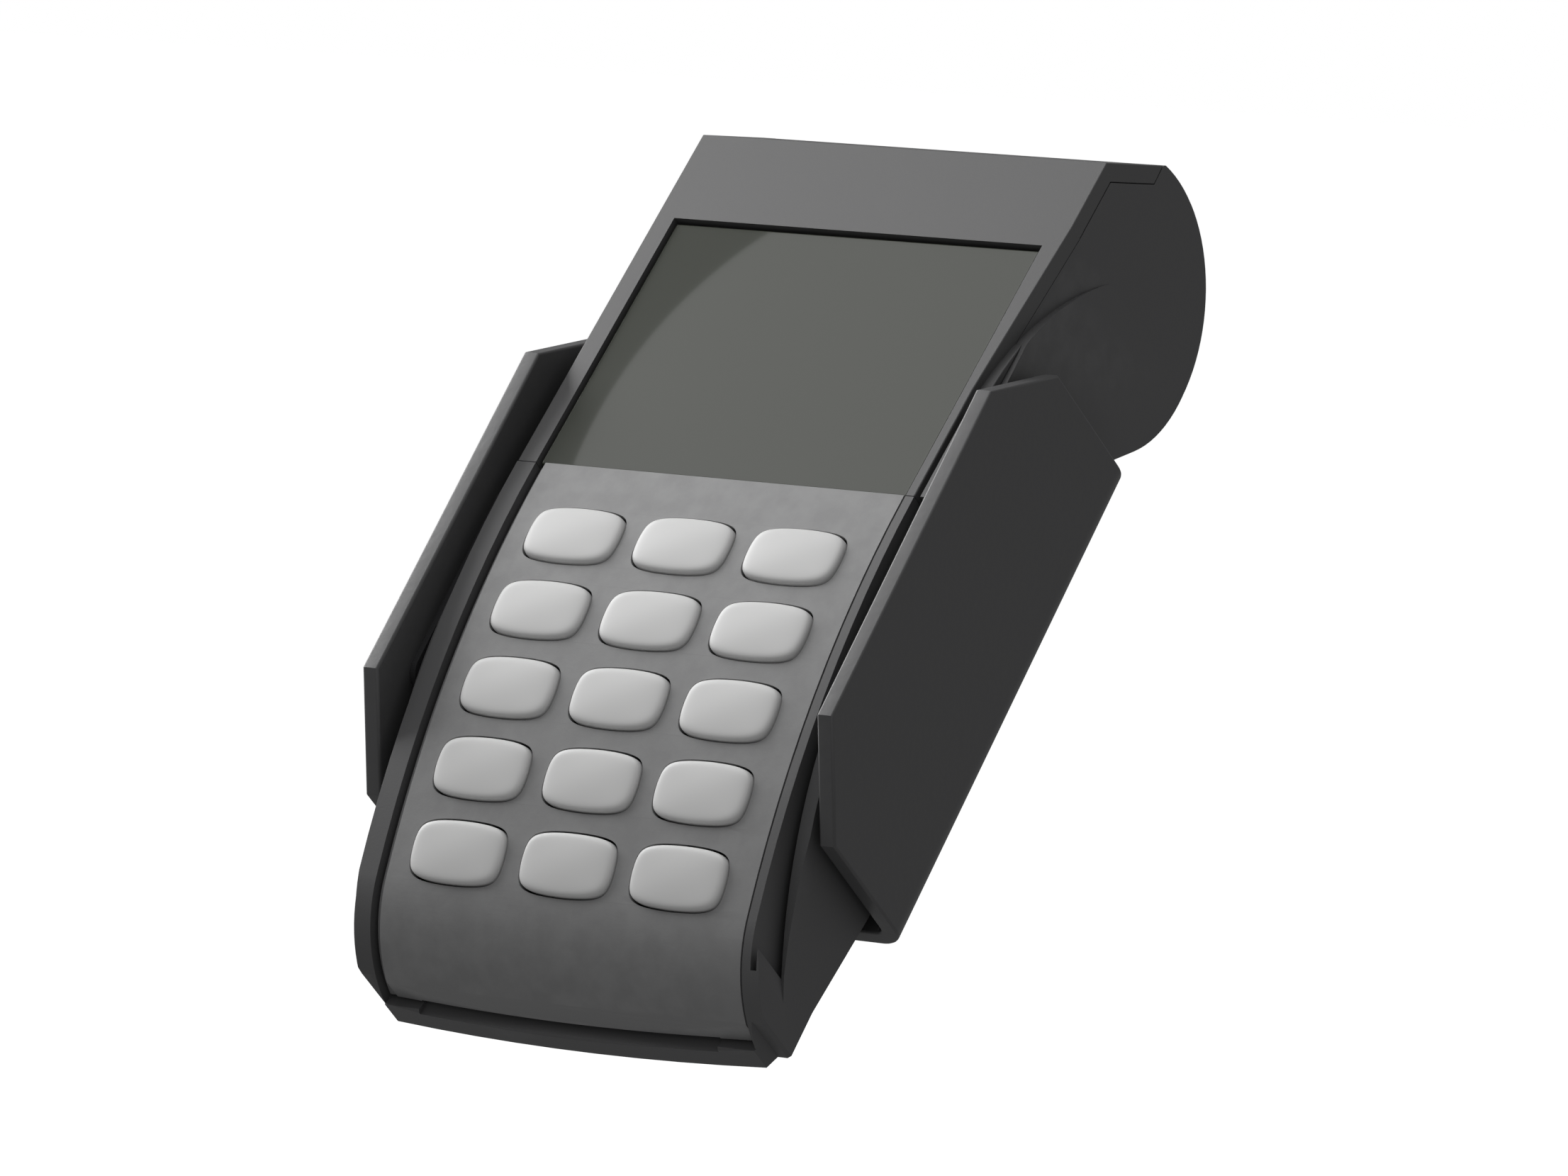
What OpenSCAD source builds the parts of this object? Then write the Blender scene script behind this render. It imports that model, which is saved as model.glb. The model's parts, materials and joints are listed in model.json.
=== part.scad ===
// Card payment terminal with a built-in receipt printer, docked in a bent
// steel cradle.  Everything is drawn upright first (X across, Y to the rear,
// Z up along the terminal, the terminal's back on Y = 0 and its foot on Z = 0)
// and placed() then leans it back about the cradle's bolt pattern.

/* [Pose] */
// Lean of the cradle back from the vertical
lean = 41; // [0:1:60]

/* [Casing] */
// Width of the head, which holds the display and the printer
head_w = 78; // [72:1:90]
// Width of each rim beside the keypad, outside the head's side
rim_out = 1.4; // [1.2:0.1:3]
// Height of the front face's top edge above the foot
face_top_z = 156.2; // [150:0.2:162]
// Depth of the front face's top edge in front of the back
face_top_d = 26.6; // [24:0.2:32]
// Forward slope of the display face, in degrees
face_tilt = 3.3; // [1:0.1:6]
// Height of the keypad plate's top edge above the foot
plate_top_z = 87.6; // [84:0.2:92]
// Radius of the keypad's long curve
face_r = 180; // [140:1:240]
// Length of the long curve
face_len = 73.7; // [71:0.1:78]
// Radius of the nose at the foot
nose_r = 21.5; // [18:0.5:26]
// Angle at which the nose ends at the card slot
nose_end = 75.5; // [66:0.5:80]
// Height of the shoulders beside the foot's lip
shoulder_z = 3.5; // [2:0.1:5]
// Width of each shoulder
shoulder_w = 2.3; // [1:0.1:4]
// How much narrower than the head each side of the foot is
foot_in = 0.4; // [0:0.1:1]
// Height above which the base has its full width
taper_top = 30; // [22:1:40]
// Radius of the foot's shallow bow across the part
foot_bow_r = 460; // [300:20:900]
// Wall of the casing
wall = 2.2; // [1.6:0.1:3]
// Wall of the two cheeks beside the printer
cheek = 2.5; // [2:0.1:3]
// Thickness of the front cover's face
cover_t = 3; // [2.4:0.1:3.6]
// Gap at the seams between casing parts
seam = 0.1; // [0.05:0.05:0.3]
// Radius of the printer bulge
bulge_r = 24; // [23:0.2:27]
// Centre of the bulge in front of the back
bulge_d = 8.2; // [7:0.2:10]
// Centre of the bulge below the front face's top edge
bulge_below = 13.4; // [12:0.1:18]
// Angle below the horizontal where the bulge's underside starts
bulge_low = 40; // [36:1:44]
// Gap of the paper exit
paper_exit = 1.2; // [0.8:0.1:2]

/* [Keypad] */
// Thickness of the keypad plate
plate_t = 2; // [1.5:0.1:2.5]
// Width of the keypad plate
plate_w = 70.2; // [68:0.2:74]
// Depth of the plate's side skirts
skirt_d = 5; // [3:0.5:6]
// Thickness of the plate's side skirts
skirt_t = 1.5; // [1:0.1:2]
// Width of a key
key_w = 17.4; // [15:0.1:19]
// Height of a key
key_h = 10.2; // [8.5:0.1:11.5]
// Corner radius of a key
key_r = 3.6; // [2:0.1:4]
// Key pitch across
key_dx = 21; // [20:0.1:22.5]
// Key pitch along the curve
key_dy = 13.8; // [13.4:0.1:14]
// Length of curve from the plate's top edge to the first row
first_row = 13.5; // [12:0.1:14]
// Height of a key above the plate
key_proud = 1.2; // [0.8:0.1:2]
// Travel of a key
key_travel = 1; // [0.5:0.1:1.2]
// Clearance around a key
key_gap = 0.25; // [0.15:0.05:0.4]
// Width of the flange that holds a key under the plate
key_flange = 0.7; // [0.5:0.1:1]
// Thickness of a key's flange
flange_t = 1; // [0.8:0.1:1.5]
// Thinnest part of the silicone mat
mat_t = 1.5; // [1:0.1:2]
// Clearance around the keypad plate
plate_gap = 0.3; // [0.2:0.05:0.5]

/* [Display] */
// Height of the window's top edge above the foot
window_top_z = 138.6; // [132:0.2:140]
// Thickness of the window
window_t = 1.5; // [1:0.1:2]
// Depth of the window below the bezel
window_drop = 0.5; // [0.3:0.1:1]
// Width of the display module
lcd_w = 66; // [60:1:68]
// Thickness of the display module
lcd_t = 4.2; // [3:0.1:4.4]

/* [Card readers] */
// Width of the swipe slot
swipe_slot = 1.1; // [1:0.1:1.6]
// Depth of the swipe slot
swipe_depth = 9; // [8:0.5:10]
// Distance of the slot's inner wall from the head's side
swipe_inset = 2; // [1.8:0.1:2.4]
// Height of the swipe slot's lower end above the foot
swipe_low_z = 8.6; // [7:0.2:12]
// Height of the swipe slot's upper end above the foot
swipe_top_z = 109; // [100:1:116]
// Width of the mouth for chip cards
card_mouth_w = 57; // [55:0.5:58]
// Thickness of the gap for a chip card
card_gap = 1; // [0.9:0.1:1.3]

/* [Printer] */
// Radius of a new paper roll
roll_r = 14.5; // [10:0.5:15]
// Width of the paper roll
roll_w = 57; // [50:1:57]
// Radius of the roll's core
core_r = 6; // [5:0.5:7]
// Radius of the platen roller
platen_r = 4; // [3.5:0.1:4.2]
// Radius of the platen's shaft
platen_shaft_r = 1.5; // [1:0.1:2]
// Radius of the stepper motor
motor_r = 4.2; // [3.5:0.1:4.4]
// Length of the stepper motor
motor_l = 13; // [8:0.5:16]
// Module of the printer's gears
gear_m = 0.5; // [0.4:0.05:0.55]
// Teeth of the motor pinion
pinion_teeth = 14; // [13:1:16]
// Teeth of the idler gear
idler_teeth = 22; // [20:1:24]
// Teeth of the platen gear
platen_teeth = 16; // [14:1:17]
// Width of the gears
gear_w = 3; // [2:0.5:4]
// Radius of the idler's pin
idler_pin_r = 1; // [0.8:0.1:1.2]
// Radial clearance of shafts in their bores
run_gap = 0.04; // [0.02:0.01:0.08]
// Radius of the lid's hinge pin
lid_pin_r = 0.9; // [0.7:0.1:1]
// Radius of the lid's hinge barrel
barrel_r = 1.8; // [1.6:0.1:2]
// Thickness of the printer lid
lid_t = 2.2; // [1.8:0.1:2.4]
// Gap under the hinge barrel, which lets the lid swing past the casing
hinge_gap = 1.2; // [1.1:0.1:1.5]
// Gap between the lid and the cheeks
lid_gap = 0.3; // [0.2:0.05:0.5]

/* [Electronics] */
// Thickness of the circuit boards
board_t = 1.6; // [1:0.1:1.6]
// Height of the main board in front of the back wall
board_lift = 6.4; // [6:0.1:7]
// Distance of the housing screws from the middle
screw_x = 33; // [32.5:0.1:33.2]
// Height of the lower housing screws above the foot
screw_low_z = 16; // [14:0.5:20]
// Height of the upper housing screws above the foot
screw_high_z = 78; // [74:0.5:81]
// Radius of a housing screw
screw_r = 1.2; // [1:0.1:1.4]
// Radius of a screw head
screw_head_r = 2.4; // [2:0.1:2.5]
// Width of a port opening
port_w = 10; // [9:0.5:11]
// Height of a port opening
port_h = 8.5; // [8:0.1:9]
// Depth of a port
port_d = 8; // [6:0.2:8.1]

/* [Cradle] */
// Thickness of the cradle's sheet
sheet_t = 3; // [2:0.5:4]
// Inner bend radius of the sheet
bend_r = 1.5; // [1:0.5:3]
// Gap between the terminal's back and the cradle
back_gap = 3.3; // [3:0.1:5]
// Thickness of the side pads
pad_t = 1.1; // [0.8:0.1:2]
// Clearance between the pads and the terminal
pad_gap = 0.3; // [0.2:0.1:0.6]
// Height of the cradle's bottom edge above the foot
cradle_low_z = 29.4; // [24:0.2:40]
// Depth of the side plates' front edges in front of the back
cradle_front_d = 34.4; // [32:0.2:38]
// Gap between the bulge and the cradle's top edge, where the terminal hangs
seat_gap = 0.3; // [0.2:0.1:0.5]
// Side of the square of mounting holes
mount_square = 50; // [40:1:60]
// Radius of a mounting hole
mount_hole_r = 2.25; // [1.6:0.05:3]

/* [Hidden] */
$fn = 64;

eps = 0.02;
far = 60;
rows = 5;
columns = 3;

// ---- side profile, as [depth, height] points -------------------------------
function ahead(a) = [sin(a), -cos(a)];
function inward(a) = [cos(a), sin(a)];
function degrees_of(s, r) = s / r * 180 / PI;
function steps(a, b, n) = [for (i = [0 : n]) a + (b - a) * i / n];
function reversed(p) = [for (i = [len(p) - 1 : -1 : 0]) p[i]];

face_top = [-face_top_d, face_top_z];
plate_top = face_top + ahead(-face_tilt) * (face_top_z - plate_top_z) / cos(face_tilt);
face_c = plate_top + face_r * inward(-face_tilt);
nose_start = degrees_of(face_len, face_r) - face_tilt;
nose_c = face_c + (nose_r - face_r) * inward(nose_start);

// Point of the front curve at a slope angle, sunk by a depth
function face_at(a, sunk) = a <= nose_start
    ? face_c - (face_r - sunk) * inward(a)
    : nose_c - (nose_r - sunk) * inward(a);
function face_curve(sunk, last) = concat(
    [for (a = steps(-face_tilt, nose_start, 12)) face_at(a, sunk)],
    [for (a = steps(nose_start + 4, last, 12)) face_at(a, sunk)]);
function face_line(z, sunk) = face_top + ahead(-face_tilt) * (face_top_z - z) / cos(face_tilt)
    + sunk * inward(-face_tilt);

bulge_z = face_top_z - bulge_below;
bulge_c = [-bulge_d, bulge_z];
function bulge_at(a, r) = bulge_c + r * [cos(a), sin(a)];
under_end = bulge_at(-bulge_low, bulge_r);
under_z = under_end[1] - under_end[0] / tan(bulge_low);
slant_last = 102;
slant_end = bulge_at(slant_last, bulge_r);
lip_d = 3.4;
plate_bow = face_at(nose_end, 0)[1];

casing_points = concat([face_top], face_curve(0, nose_end),
    [[-lip_d, 0], [0, 0], [0, under_z]],
    [for (a = steps(-bulge_low, slant_last, 36)) bulge_at(a, bulge_r)]);

// Every edge moved inwards, its ends where the moved edges meet
function unit(v) = v / norm(v);
function left_of(d) = [-d[1], d[0]];
function meet(p, d, q, e) = p + d * cross(q - p, e) / cross(d, e);
function inset(p, w) = [for (i = [0 : len(p) - 1])
    let (a = p[(i + len(p) - 1) % len(p)], b = p[i], c = p[(i + 1) % len(p)],
        d = unit(b - a), e = unit(c - b))
    meet(b + left_of(d) * w, d, b + left_of(e) * w, e)];

// ---- positions that several parts share ---------------------------------------
head_in = head_w / 2 - cheek;
swipe_x = head_w / 2 - swipe_inset;
plate_room = plate_w / 2 + plate_gap;
base_x = head_w / 2 + rim_out;
foot_x = head_w / 2 - foot_in;
taper_low = taper_top - 18;
function row_angle(row) = degrees_of(first_row + row * key_dy, face_r) - face_tilt;
function key_x(column) = (column - (columns - 1) / 2) * key_dx;

// The keypad's boards lie along the chord of its curve
mat_sunk = plate_t + 0.2 + flange_t + key_travel + 0.15;
chord_top = face_at(-face_tilt + 1.4, mat_sunk + mat_t);
chord_low = face_at(nose_start - 0.6, mat_sunk + mat_t);
chord_dir = unit(chord_low - chord_top);
chord_in = left_of(chord_dir);
board_half = key_dx + 9.5;
main_y = -wall - board_lift;
main_low = screw_low_z - 2.8;
main_high = under_z - 2;

// Paper roll: it lies on the bucket's floor and against the bulge's underside
floor_t = 2;
floor_z = under_z + 3.8;
partition_t = 1.1;
rest_gap = 0.3;
roll_z = floor_z + floor_t + roll_r + rest_gap;
roll_y = under_end[0] + ((roll_z - under_end[1]) * sin(bulge_low)
    - (roll_r + rest_gap + wall)) / cos(bulge_low);
partition_y = roll_y - roll_r - rest_gap;

// Print mechanism
motor_c = face_top + [7, -6];
platen_c = bulge_c + [-1.3, bulge_r - 8.3];
function pitch_r(teeth) = gear_m * teeth / 2;
to_platen = platen_c - motor_c;
motor_idler = pitch_r(pinion_teeth) + pitch_r(idler_teeth);
idler_platen = pitch_r(platen_teeth) + pitch_r(idler_teeth);
along = (motor_idler * motor_idler - idler_platen * idler_platen + to_platen * to_platen)
    / (2 * norm(to_platen));
aside = sqrt(motor_idler * motor_idler - along * along);
idler_c = motor_c + unit(to_platen) * along - left_of(unit(to_platen)) * aside;
frame_x = head_in - 7.2;
frame_t = 1.2;
gear_x = frame_x + frame_t + 0.6;
deck_low = motor_c[1] - 5.8;
deck_t = 1.2;
deck_front = motor_c[0] - 3.8;
deck_rear = motor_c[0] + 1;
head_plate_t = 1.6;
head_plate_y = platen_c[0] - platen_r - 0.2 - head_plate_t;

// Lid
lid_in_r = bulge_r - lid_t;
barrel_gap = 0.5;
hinge_out = bulge_r - barrel_r;
hinge_free = roll_r + barrel_gap + barrel_r;
roll_off = [roll_y, roll_z] - bulge_c;
hinge_low = atan2(-roll_off[1], roll_off[0]) - acos((roll_off * roll_off + hinge_out * hinge_out
    - hinge_free * hinge_free) / (2 * norm(roll_off) * hinge_out));
hinge_at = bulge_at(-hinge_low, hinge_out);
lid_last = 99;
lid_half = head_in - lid_gap;

// Swipe entry: the outer wall of the slot ends along this arc
entry_c = [27, swipe_top_z - 4];
entry_r = 55;
entry_low_z = entry_c[1];
ramp_top_z = swipe_top_z + 34;
rim_r = 85;
rim_back = 1.9;
rim_c = [plate_top[0] + rim_back + rim_r, plate_top_z - 22.6];
flank_run = 9;
slot_out = swipe_x + swipe_slot;

// Magnetic head, on the fourth row's height
mag_z = 54;
mag_l = 9;
mag_y = plate_top[0] + 6.55;
mag_d = 6;

// Cradle
pad_x = base_x + pad_gap;
plate_in = pad_x + pad_t;
plate_out = plate_in + sheet_t;
cradle_back = back_gap + sheet_t;
cradle_top_z = under_z + back_gap / tan(bulge_low) - seat_gap / sin(bulge_low);
mount_z = (cradle_low_z + cradle_top_z) / 2;

// ---- helpers -------------------------------------------------------------------
module placed() {
    rotate([-lean, 0, 0]) translate([0, -cradle_back, -mount_z]) children();
}

// Side view extruded across the part, from x0 to x1
module across(x0, x1) {
    translate([x0, 0, 0]) rotate([90, 0, 90]) linear_extrude(x1 - x0) children();
}

// Front view extruded to the rear, from y0 to y1
module rearwards(y0, y1) {
    translate([0, y1, 0]) rotate([90, 0, 0]) linear_extrude(y1 - y0) children();
}

module block(x0, x1, y0, y1, z0, z1) {
    translate([x0, y0, z0]) cube([x1 - x0, y1 - y0, z1 - z0]);
}

module rod_x(at, r, x0, x1) {
    translate([x0, at[0], at[1]]) rotate([0, 90, 0]) cylinder(r = r, h = x1 - x0);
}

module rod_y(x, z, r, y0, y1) {
    translate([x, y0, z]) rotate([-90, 0, 0]) cylinder(r = r, h = y1 - y0);
}

module rounded(w, h, r) {
    square([w, h - 2 * r], center = true);
    square([w - 2 * r, h], center = true);
    for (x = [-1, 1], y = [-1, 1])
        translate([x * (w / 2 - r), y * (h / 2 - r)]) circle(r);
}

// Frame on the keypad's curve: Z out of the plate, Y up along it
module on_face(angle) {
    p = face_at(angle, 0);
    translate([0, p[0], p[1]]) rotate([90 + angle, 0, 0]) children();
}

// Frame on the keypad board: Z out of its front
module on_chord() {
    translate([0, chord_top[0], chord_top[1]])
        rotate([90 + atan2(chord_dir[0], -chord_dir[1]), 0, 0]) children();
}

module keypad_band(from, to, last) {
    polygon(concat(face_curve(from, last), reversed(face_curve(to, last))));
}

// Involute gear with its teeth cut slightly narrow
function roll_angle(a) = tan(a) * 180 / PI - a;
function half_tooth(teeth, r) = let (base = pitch_r(teeth) * cos(20))
    90 / teeth - 1.3 + roll_angle(20) - roll_angle(acos(min(1, base / max(r, base))));
module gear_outline(teeth) {
    root = pitch_r(teeth) - 1.3 * gear_m;
    radii = steps(root, pitch_r(teeth) + 0.85 * gear_m, 5);
    polygon([for (i = [0 : teeth - 1], side = [-1, 1], k = [0 : 5])
        let (r = side < 0 ? radii[k] : radii[5 - k],
            a = 360 * i / teeth + side * half_tooth(teeth, r))
        r * [cos(a), sin(a)]]);
}

module gear_at(at, teeth, turned) {
    translate([gear_x, at[0], at[1]]) rotate([90, 0, 90])
        linear_extrude(gear_w) rotate(turned) gear_outline(teeth);
}

// Turns that bring the teeth into mesh
function heading(a, b) = atan2(b[1] - a[1], b[0] - a[0]);
pinion_turn = heading(motor_c, idler_c);
idler_turn = heading(idler_c, motor_c) + 180 / idler_teeth;
idler_phase = (heading(idler_c, platen_c) - idler_turn) * idler_teeth / 360;
platen_turn = heading(platen_c, idler_c)
    + (0.5 + idler_phase) * 360 / platen_teeth;

// ---- cradle --------------------------------------------------------------------
module cradle_side() {
    top_front = [-cradle_front_d + 8, cradle_top_z - 2.6];
    polygon([[-cradle_front_d, cradle_low_z + 14.3], [-cradle_front_d + 8, cradle_low_z + 1.6],
        [-cradle_front_d + 10, cradle_low_z], [cradle_back + 1, cradle_low_z],
        [cradle_back + 1, cradle_top_z], [-cradle_front_d + 13, cradle_top_z], top_front,
        [-cradle_front_d + 3, cradle_top_z - 8.5], [-cradle_front_d, cradle_top_z - 14]]);
}

module cradle() color([0.09, 0.09, 0.1]) placed() difference() {
    intersection() {
        across(-plate_out, plate_out) cradle_side();
        difference() {
            channel_core(plate_out, cradle_back, bend_r + sheet_t);
            channel_core(plate_in, back_gap, bend_r);
        }
    }
    for (x = [-1, 1], z = [-1, 1])
        rod_y(x * mount_square / 2, mount_z + z * mount_square / 2, mount_hole_r,
            back_gap - 1, cradle_back + 1);
}

module channel_core(half, back, r) {
    translate([0, 0, -1]) linear_extrude(far * 3) {
        translate([-half, -far]) square([2 * half, far + back - r]);
        translate([-half + r, -far]) square([2 * (half - r), far + back]);
        for (x = [-1, 1]) translate([x * (half - r), back - r]) circle(r);
    }
}

module side_pad(x) {
    across(x, x + pad_t - eps) translate([-18, 66]) rounded(20, 38, 3);
}
module side_pad_left() color([0.16, 0.16, 0.17]) placed() side_pad(-plate_in + eps);
module side_pad_right() color([0.16, 0.16, 0.17]) placed() side_pad(pad_x);

foot_h = 1.5;
module back_pad() color([0.16, 0.16, 0.17]) placed()
    rearwards(foot_h + pad_gap, back_gap) translate([0, mount_z]) rounded(30, 70, 4);

// ---- casing ----------------------------------------------------------------------
module casing_body() {
    intersection() {
        union() {
            across(-head_w / 2, head_w / 2) polygon(casing_points);
            rims();
        }
        rearwards(-far, far) polygon(concat(base_edge(1), reversed(base_edge(-1))));
        foot_bow();
    }
}

// One side of the outline across the part: it narrows towards the foot
function base_edge(side) = let (end = foot_x - shoulder_w)
    [[side * (end - shoulder_z / 2 - 0.5), -1], [side * end, shoulder_z],
    [side * (foot_x - 0.5), shoulder_z], [side * foot_x, shoulder_z + 0.5],
    [side * foot_x, taper_low], [side * base_x, taper_top], [side * base_x, far * 3]];

// What stands above the bowed line of the foot
module foot_bow() {
    translate([0, far, foot_bow_r]) rotate([90, 0, 0])
        cylinder(r = foot_bow_r, h = 2 * far, $fn = 720);
}

module rim_outline() {
    intersection() {
        polygon(casing_points);
        behind_rim();
    }
}

// Side view of what lies behind the rims' front edge
module behind_rim() {
    translate(rim_c) circle(rim_r, $fn = 128);
    translate([rim_c[0] - rim_r, rim_c[1]]) square(2 * far);
}

// The rims stand out beside the keypad; the right one runs on as the swipe slot's wall
module rims() {
    intersection() {
        across(-base_x, base_x) rim_outline();
        union() {
            block(-base_x, -head_w / 2 + 1, -far, far, 0, plate_top_z);
            rearwards(-far, far) polygon([[head_w / 2 - 1, 0], [base_x, 0],
                [base_x, swipe_top_z - 12], [head_w / 2, ramp_top_z],
                [head_w / 2 - 1, ramp_top_z]]);
        }
        union() {
            block(-base_x, 0, -far, far, 0, far * 3);
            across(0, base_x) behind_entry();
        }
    }
}

// Side view of what the slot's outer wall may cover
module behind_entry() {
    translate(entry_c) circle(entry_r, $fn = 128);
    translate([-far, 0]) square([2 * far, entry_low_z]);
}

// What the ramp in front of the swipe slot takes away
module swipe_ramp() {
    difference() {
        rearwards(-far, far) polygon([[swipe_x, entry_low_z], [far, entry_low_z],
            [far, ramp_top_z], [head_w / 2, ramp_top_z], [swipe_x, swipe_top_z]]);
        across(0, far * 2) behind_entry();
    }
}

module swipe_cut() {
    across(swipe_x, slot_out) polygon(concat([[-far, swipe_top_z], [-far, swipe_low_z],
        [rim_c[0] - sqrt(rim_r * rim_r - pow(rim_c[1] - swipe_low_z, 2)), swipe_low_z]],
        reversed(face_curve(swipe_depth, nose_start + 20)), [face_line(swipe_top_z, swipe_depth)]));
}

// Beside the keypad the slot's outer wall stands back, and its inner side runs out to the foot
module slot_flank() {
    intersection() {
        difference() {
            across(swipe_x, far) translate([-far, swipe_low_z])
                square([2 * far, plate_top_z - swipe_low_z]);
            across(0, far * 2) behind_rim();
        }
        rearwards(-far, far) polygon([[swipe_x, swipe_low_z + flank_run], [foot_x, swipe_low_z],
            [far, swipe_low_z], [far, plate_top_z], [swipe_x, plate_top_z]]);
    }
}

module front_cover() color([0.44, 0.44, 0.45]) placed() difference() {
    union() {
        across(-head_w / 2, head_w / 2) polygon(cover_band(0));
        cover_clips();
    }
    rearwards(-far, 0) polygon([[-plate_room, plate_top_z - 5], [plate_room, plate_top_z - 5],
        [plate_room, window_top_z + seam], [-plate_room, window_top_z + seam]]);
    swipe_ramp();
    block(swipe_x, far, -far, 0, 0, entry_low_z);
}

slant_dir = unit(slant_end - face_top);
slant_in = [slant_dir[1], -slant_dir[0]];
slant_stop = face_top + slant_dir * (norm(slant_end - face_top) - paper_exit * 0.6);

// Side view of the front cover, its inner edges moved out by a seam
function cover_band(gap) = let (t = cover_t + gap, stop = slant_stop + slant_dir * gap)
    [plate_top, face_top, stop, meet(stop, [0, 1], face_top + slant_in * t, slant_dir),
        meet(face_top + slant_in * t, slant_dir, face_top + inward(-face_tilt) * t, ahead(-face_tilt)),
        plate_top + inward(-face_tilt) * t];

// Snap tabs that hold the cover inside the cheeks
module cover_clips() {
    for (s = [-1, 1], z = [100, 130]) {
        y = face_line(z, cover_t)[0];
        block(min(s * (head_in - 0.9), s * (head_in - 0.1)),
            max(s * (head_in - 0.9), s * (head_in - 0.1)), y - 1, y + 3.8, z - 4, z + 4);
    }
}

module rear_housing() color([0.38, 0.38, 0.39]) placed() difference() {
    union() {
        difference() {
            casing_body();
            head_room();
            keypad_room();
        }
        bucket_walls();
        mechanism_ledges();
        screw_posts();
    }
    swipe_ramp();
    swipe_cut();
    slot_flank();
    screw_holes();
    card_mouth();
    port_cuts();
    rod_x(hinge_at, lid_pin_r + run_gap, -head_w / 2 + 0.6, head_w / 2 - 0.6);
    magnet_window();
    door_recess();
}

// Room behind the front cover and under the lid
module head_room() {
    across(-head_in, head_in) difference() {
        polygon(inset(casing_points, wall));
        translate([-far, -1]) square([2 * far, plate_top_z + 1]);
    }
    across(-far, swipe_x) cover_room();
    across(swipe_x, far) difference() {
        cover_room();
        translate([-far, 0]) square([2 * far, entry_low_z]);
    }
    across(-head_in, head_in) intersection() {
        difference() {
            translate(bulge_c) circle(bulge_r + 3);
            translate(bulge_c) circle(lid_in_r - 1);
        }
        polygon([bulge_c, bulge_at(-hinge_low, 80), bulge_at(0, 80), bulge_at(60, 80), bulge_at(120, 80),
            slant_stop]);
    }
    rod_x(hinge_at, barrel_r + hinge_gap, -head_in, head_in);
}

module cover_room() {
    band = cover_band(seam);
    polygon(concat([plate_top + [-9, 0], face_top + [-9, 9], [slant_stop[0], face_top_z + far]],
        [for (i = [2 : 5]) band[i]]));
}

// Room for the keypad plate and what is under it
module keypad_room() {
    across(-plate_room, plate_room) intersection() {
        polygon(inset(casing_points, wall));
        translate([-far, -1]) square([2 * far, plate_top_z + 2]);
    }
    across(-plate_room, plate_room)
        polygon(concat(face_curve(-3, nose_end + 1.5), reversed(face_curve(wall + 1, nose_end + 1.5))));
    block(-plate_room, plate_room, plate_top[0] - 5, plate_top[0] + wall + 1,
        plate_top_z - 1, plate_top_z + 1);
    // hollow of the left rim
    block(-base_x + wall, -plate_room + 1, -16, -wall, taper_top, plate_top_z - 6);
}

module bucket_walls() {
    intersection() {
        across(-head_in - 0.5, head_in + 0.5) polygon(inset(casing_points, wall / 2));
        union() {
            block(-far, far, partition_y - partition_t, far, floor_z, floor_z + floor_t);
            block(-far, far, partition_y - partition_t, partition_y, floor_z, deck_low - 4.4);
        }
    }
}

module mechanism_ledges() {
    for (s = [-1, 1])
        translate([s > 0 ? head_in - 3 : -head_in - 0.5, deck_front, deck_low - 2.1])
            cube([3.5, deck_rear - deck_front, 2]);
}

module at_screws() {
    for (x = [-1, 1], z = [screw_low_z, screw_high_z]) translate([x * screw_x, 0, z]) children();
}

module screw_posts() {
    at_screws() rod_y(0, 0, 2.8, main_y, -wall + 0.5);
}

module screw_holes() {
    at_screws() {
        rod_y(0, 0, screw_r + 0.3, main_y - 1, 1);
        rod_y(0, 0, screw_head_r + 0.2, -2.6, 1);
    }
}

// Mouth for chip cards, between the keypad plate's end and the lip
module card_mouth() {
    block(-card_mouth_w / 2, card_mouth_w / 2, -lip_d - card_gap - 0.65, -lip_d - 0.35, -1, 8);
}

port_z = [bulge_z - 8.8, bulge_z + 7.2];
port_y = [10.2 - bulge_d, 2.2 - bulge_d];
module port_cuts() {
    for (i = [0, 1])
        across(-head_w / 2 - 1, -head_in + 1) translate([port_y[i], port_z[i]])
            square([port_w, port_h], center = true);
}

module magnet_window() {
    block(plate_room - 1, swipe_x + 0.1, mag_y - 0.3, mag_y + mag_d + 0.3,
        mag_z - mag_l / 2 - 0.3, mag_z + mag_l / 2 + 0.3);
}

door_w = 34;
door_h = 26;
door_z = 46;
door_t = 1.2;
module door_recess() {
    rearwards(-door_t - 0.1, 1) translate([0, door_z]) rounded(door_w + 0.4, door_h + 0.4, 2.2);
    rod_y(0, door_z + door_h / 2 - 4, 0.95, -wall - 1, 1);
}

module keypad_plate() color([0.55, 0.55, 0.56]) placed() difference() {
    union() {
        intersection() {
            across(-plate_w / 2, plate_w / 2) keypad_band(0, plate_t, nose_end);
            translate([0, 0, plate_bow]) foot_bow();
        }
        for (s = [-1, 1])
            across(s > 0 ? plate_w / 2 - skirt_t : -plate_w / 2,
                s > 0 ? plate_w / 2 : -plate_w / 2 + skirt_t)
                keypad_band(plate_t - 0.5, plate_t + skirt_d, nose_end - 6);
        front_posts();
    }
    for (row = [0 : rows - 1], column = [0 : columns - 1])
        on_face(row_angle(row)) translate([key_x(column), 0, -plate_t - 2])
            linear_extrude(plate_t + 4)
                rounded(key_w + 2 * key_gap, key_h + 2 * key_gap, key_r + key_gap);
    block(mag_inner - 0.4, far, mag_y - 0.4, mag_y + mag_d + 0.4,
        mag_z - mag_l / 2 - 0.4, mag_z + mag_l / 2 + 0.4);
    at_screws() rod_y(0, 0, screw_r + 0.05, main_y - board_t - 8, 0);
    card_mouth();
}

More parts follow.
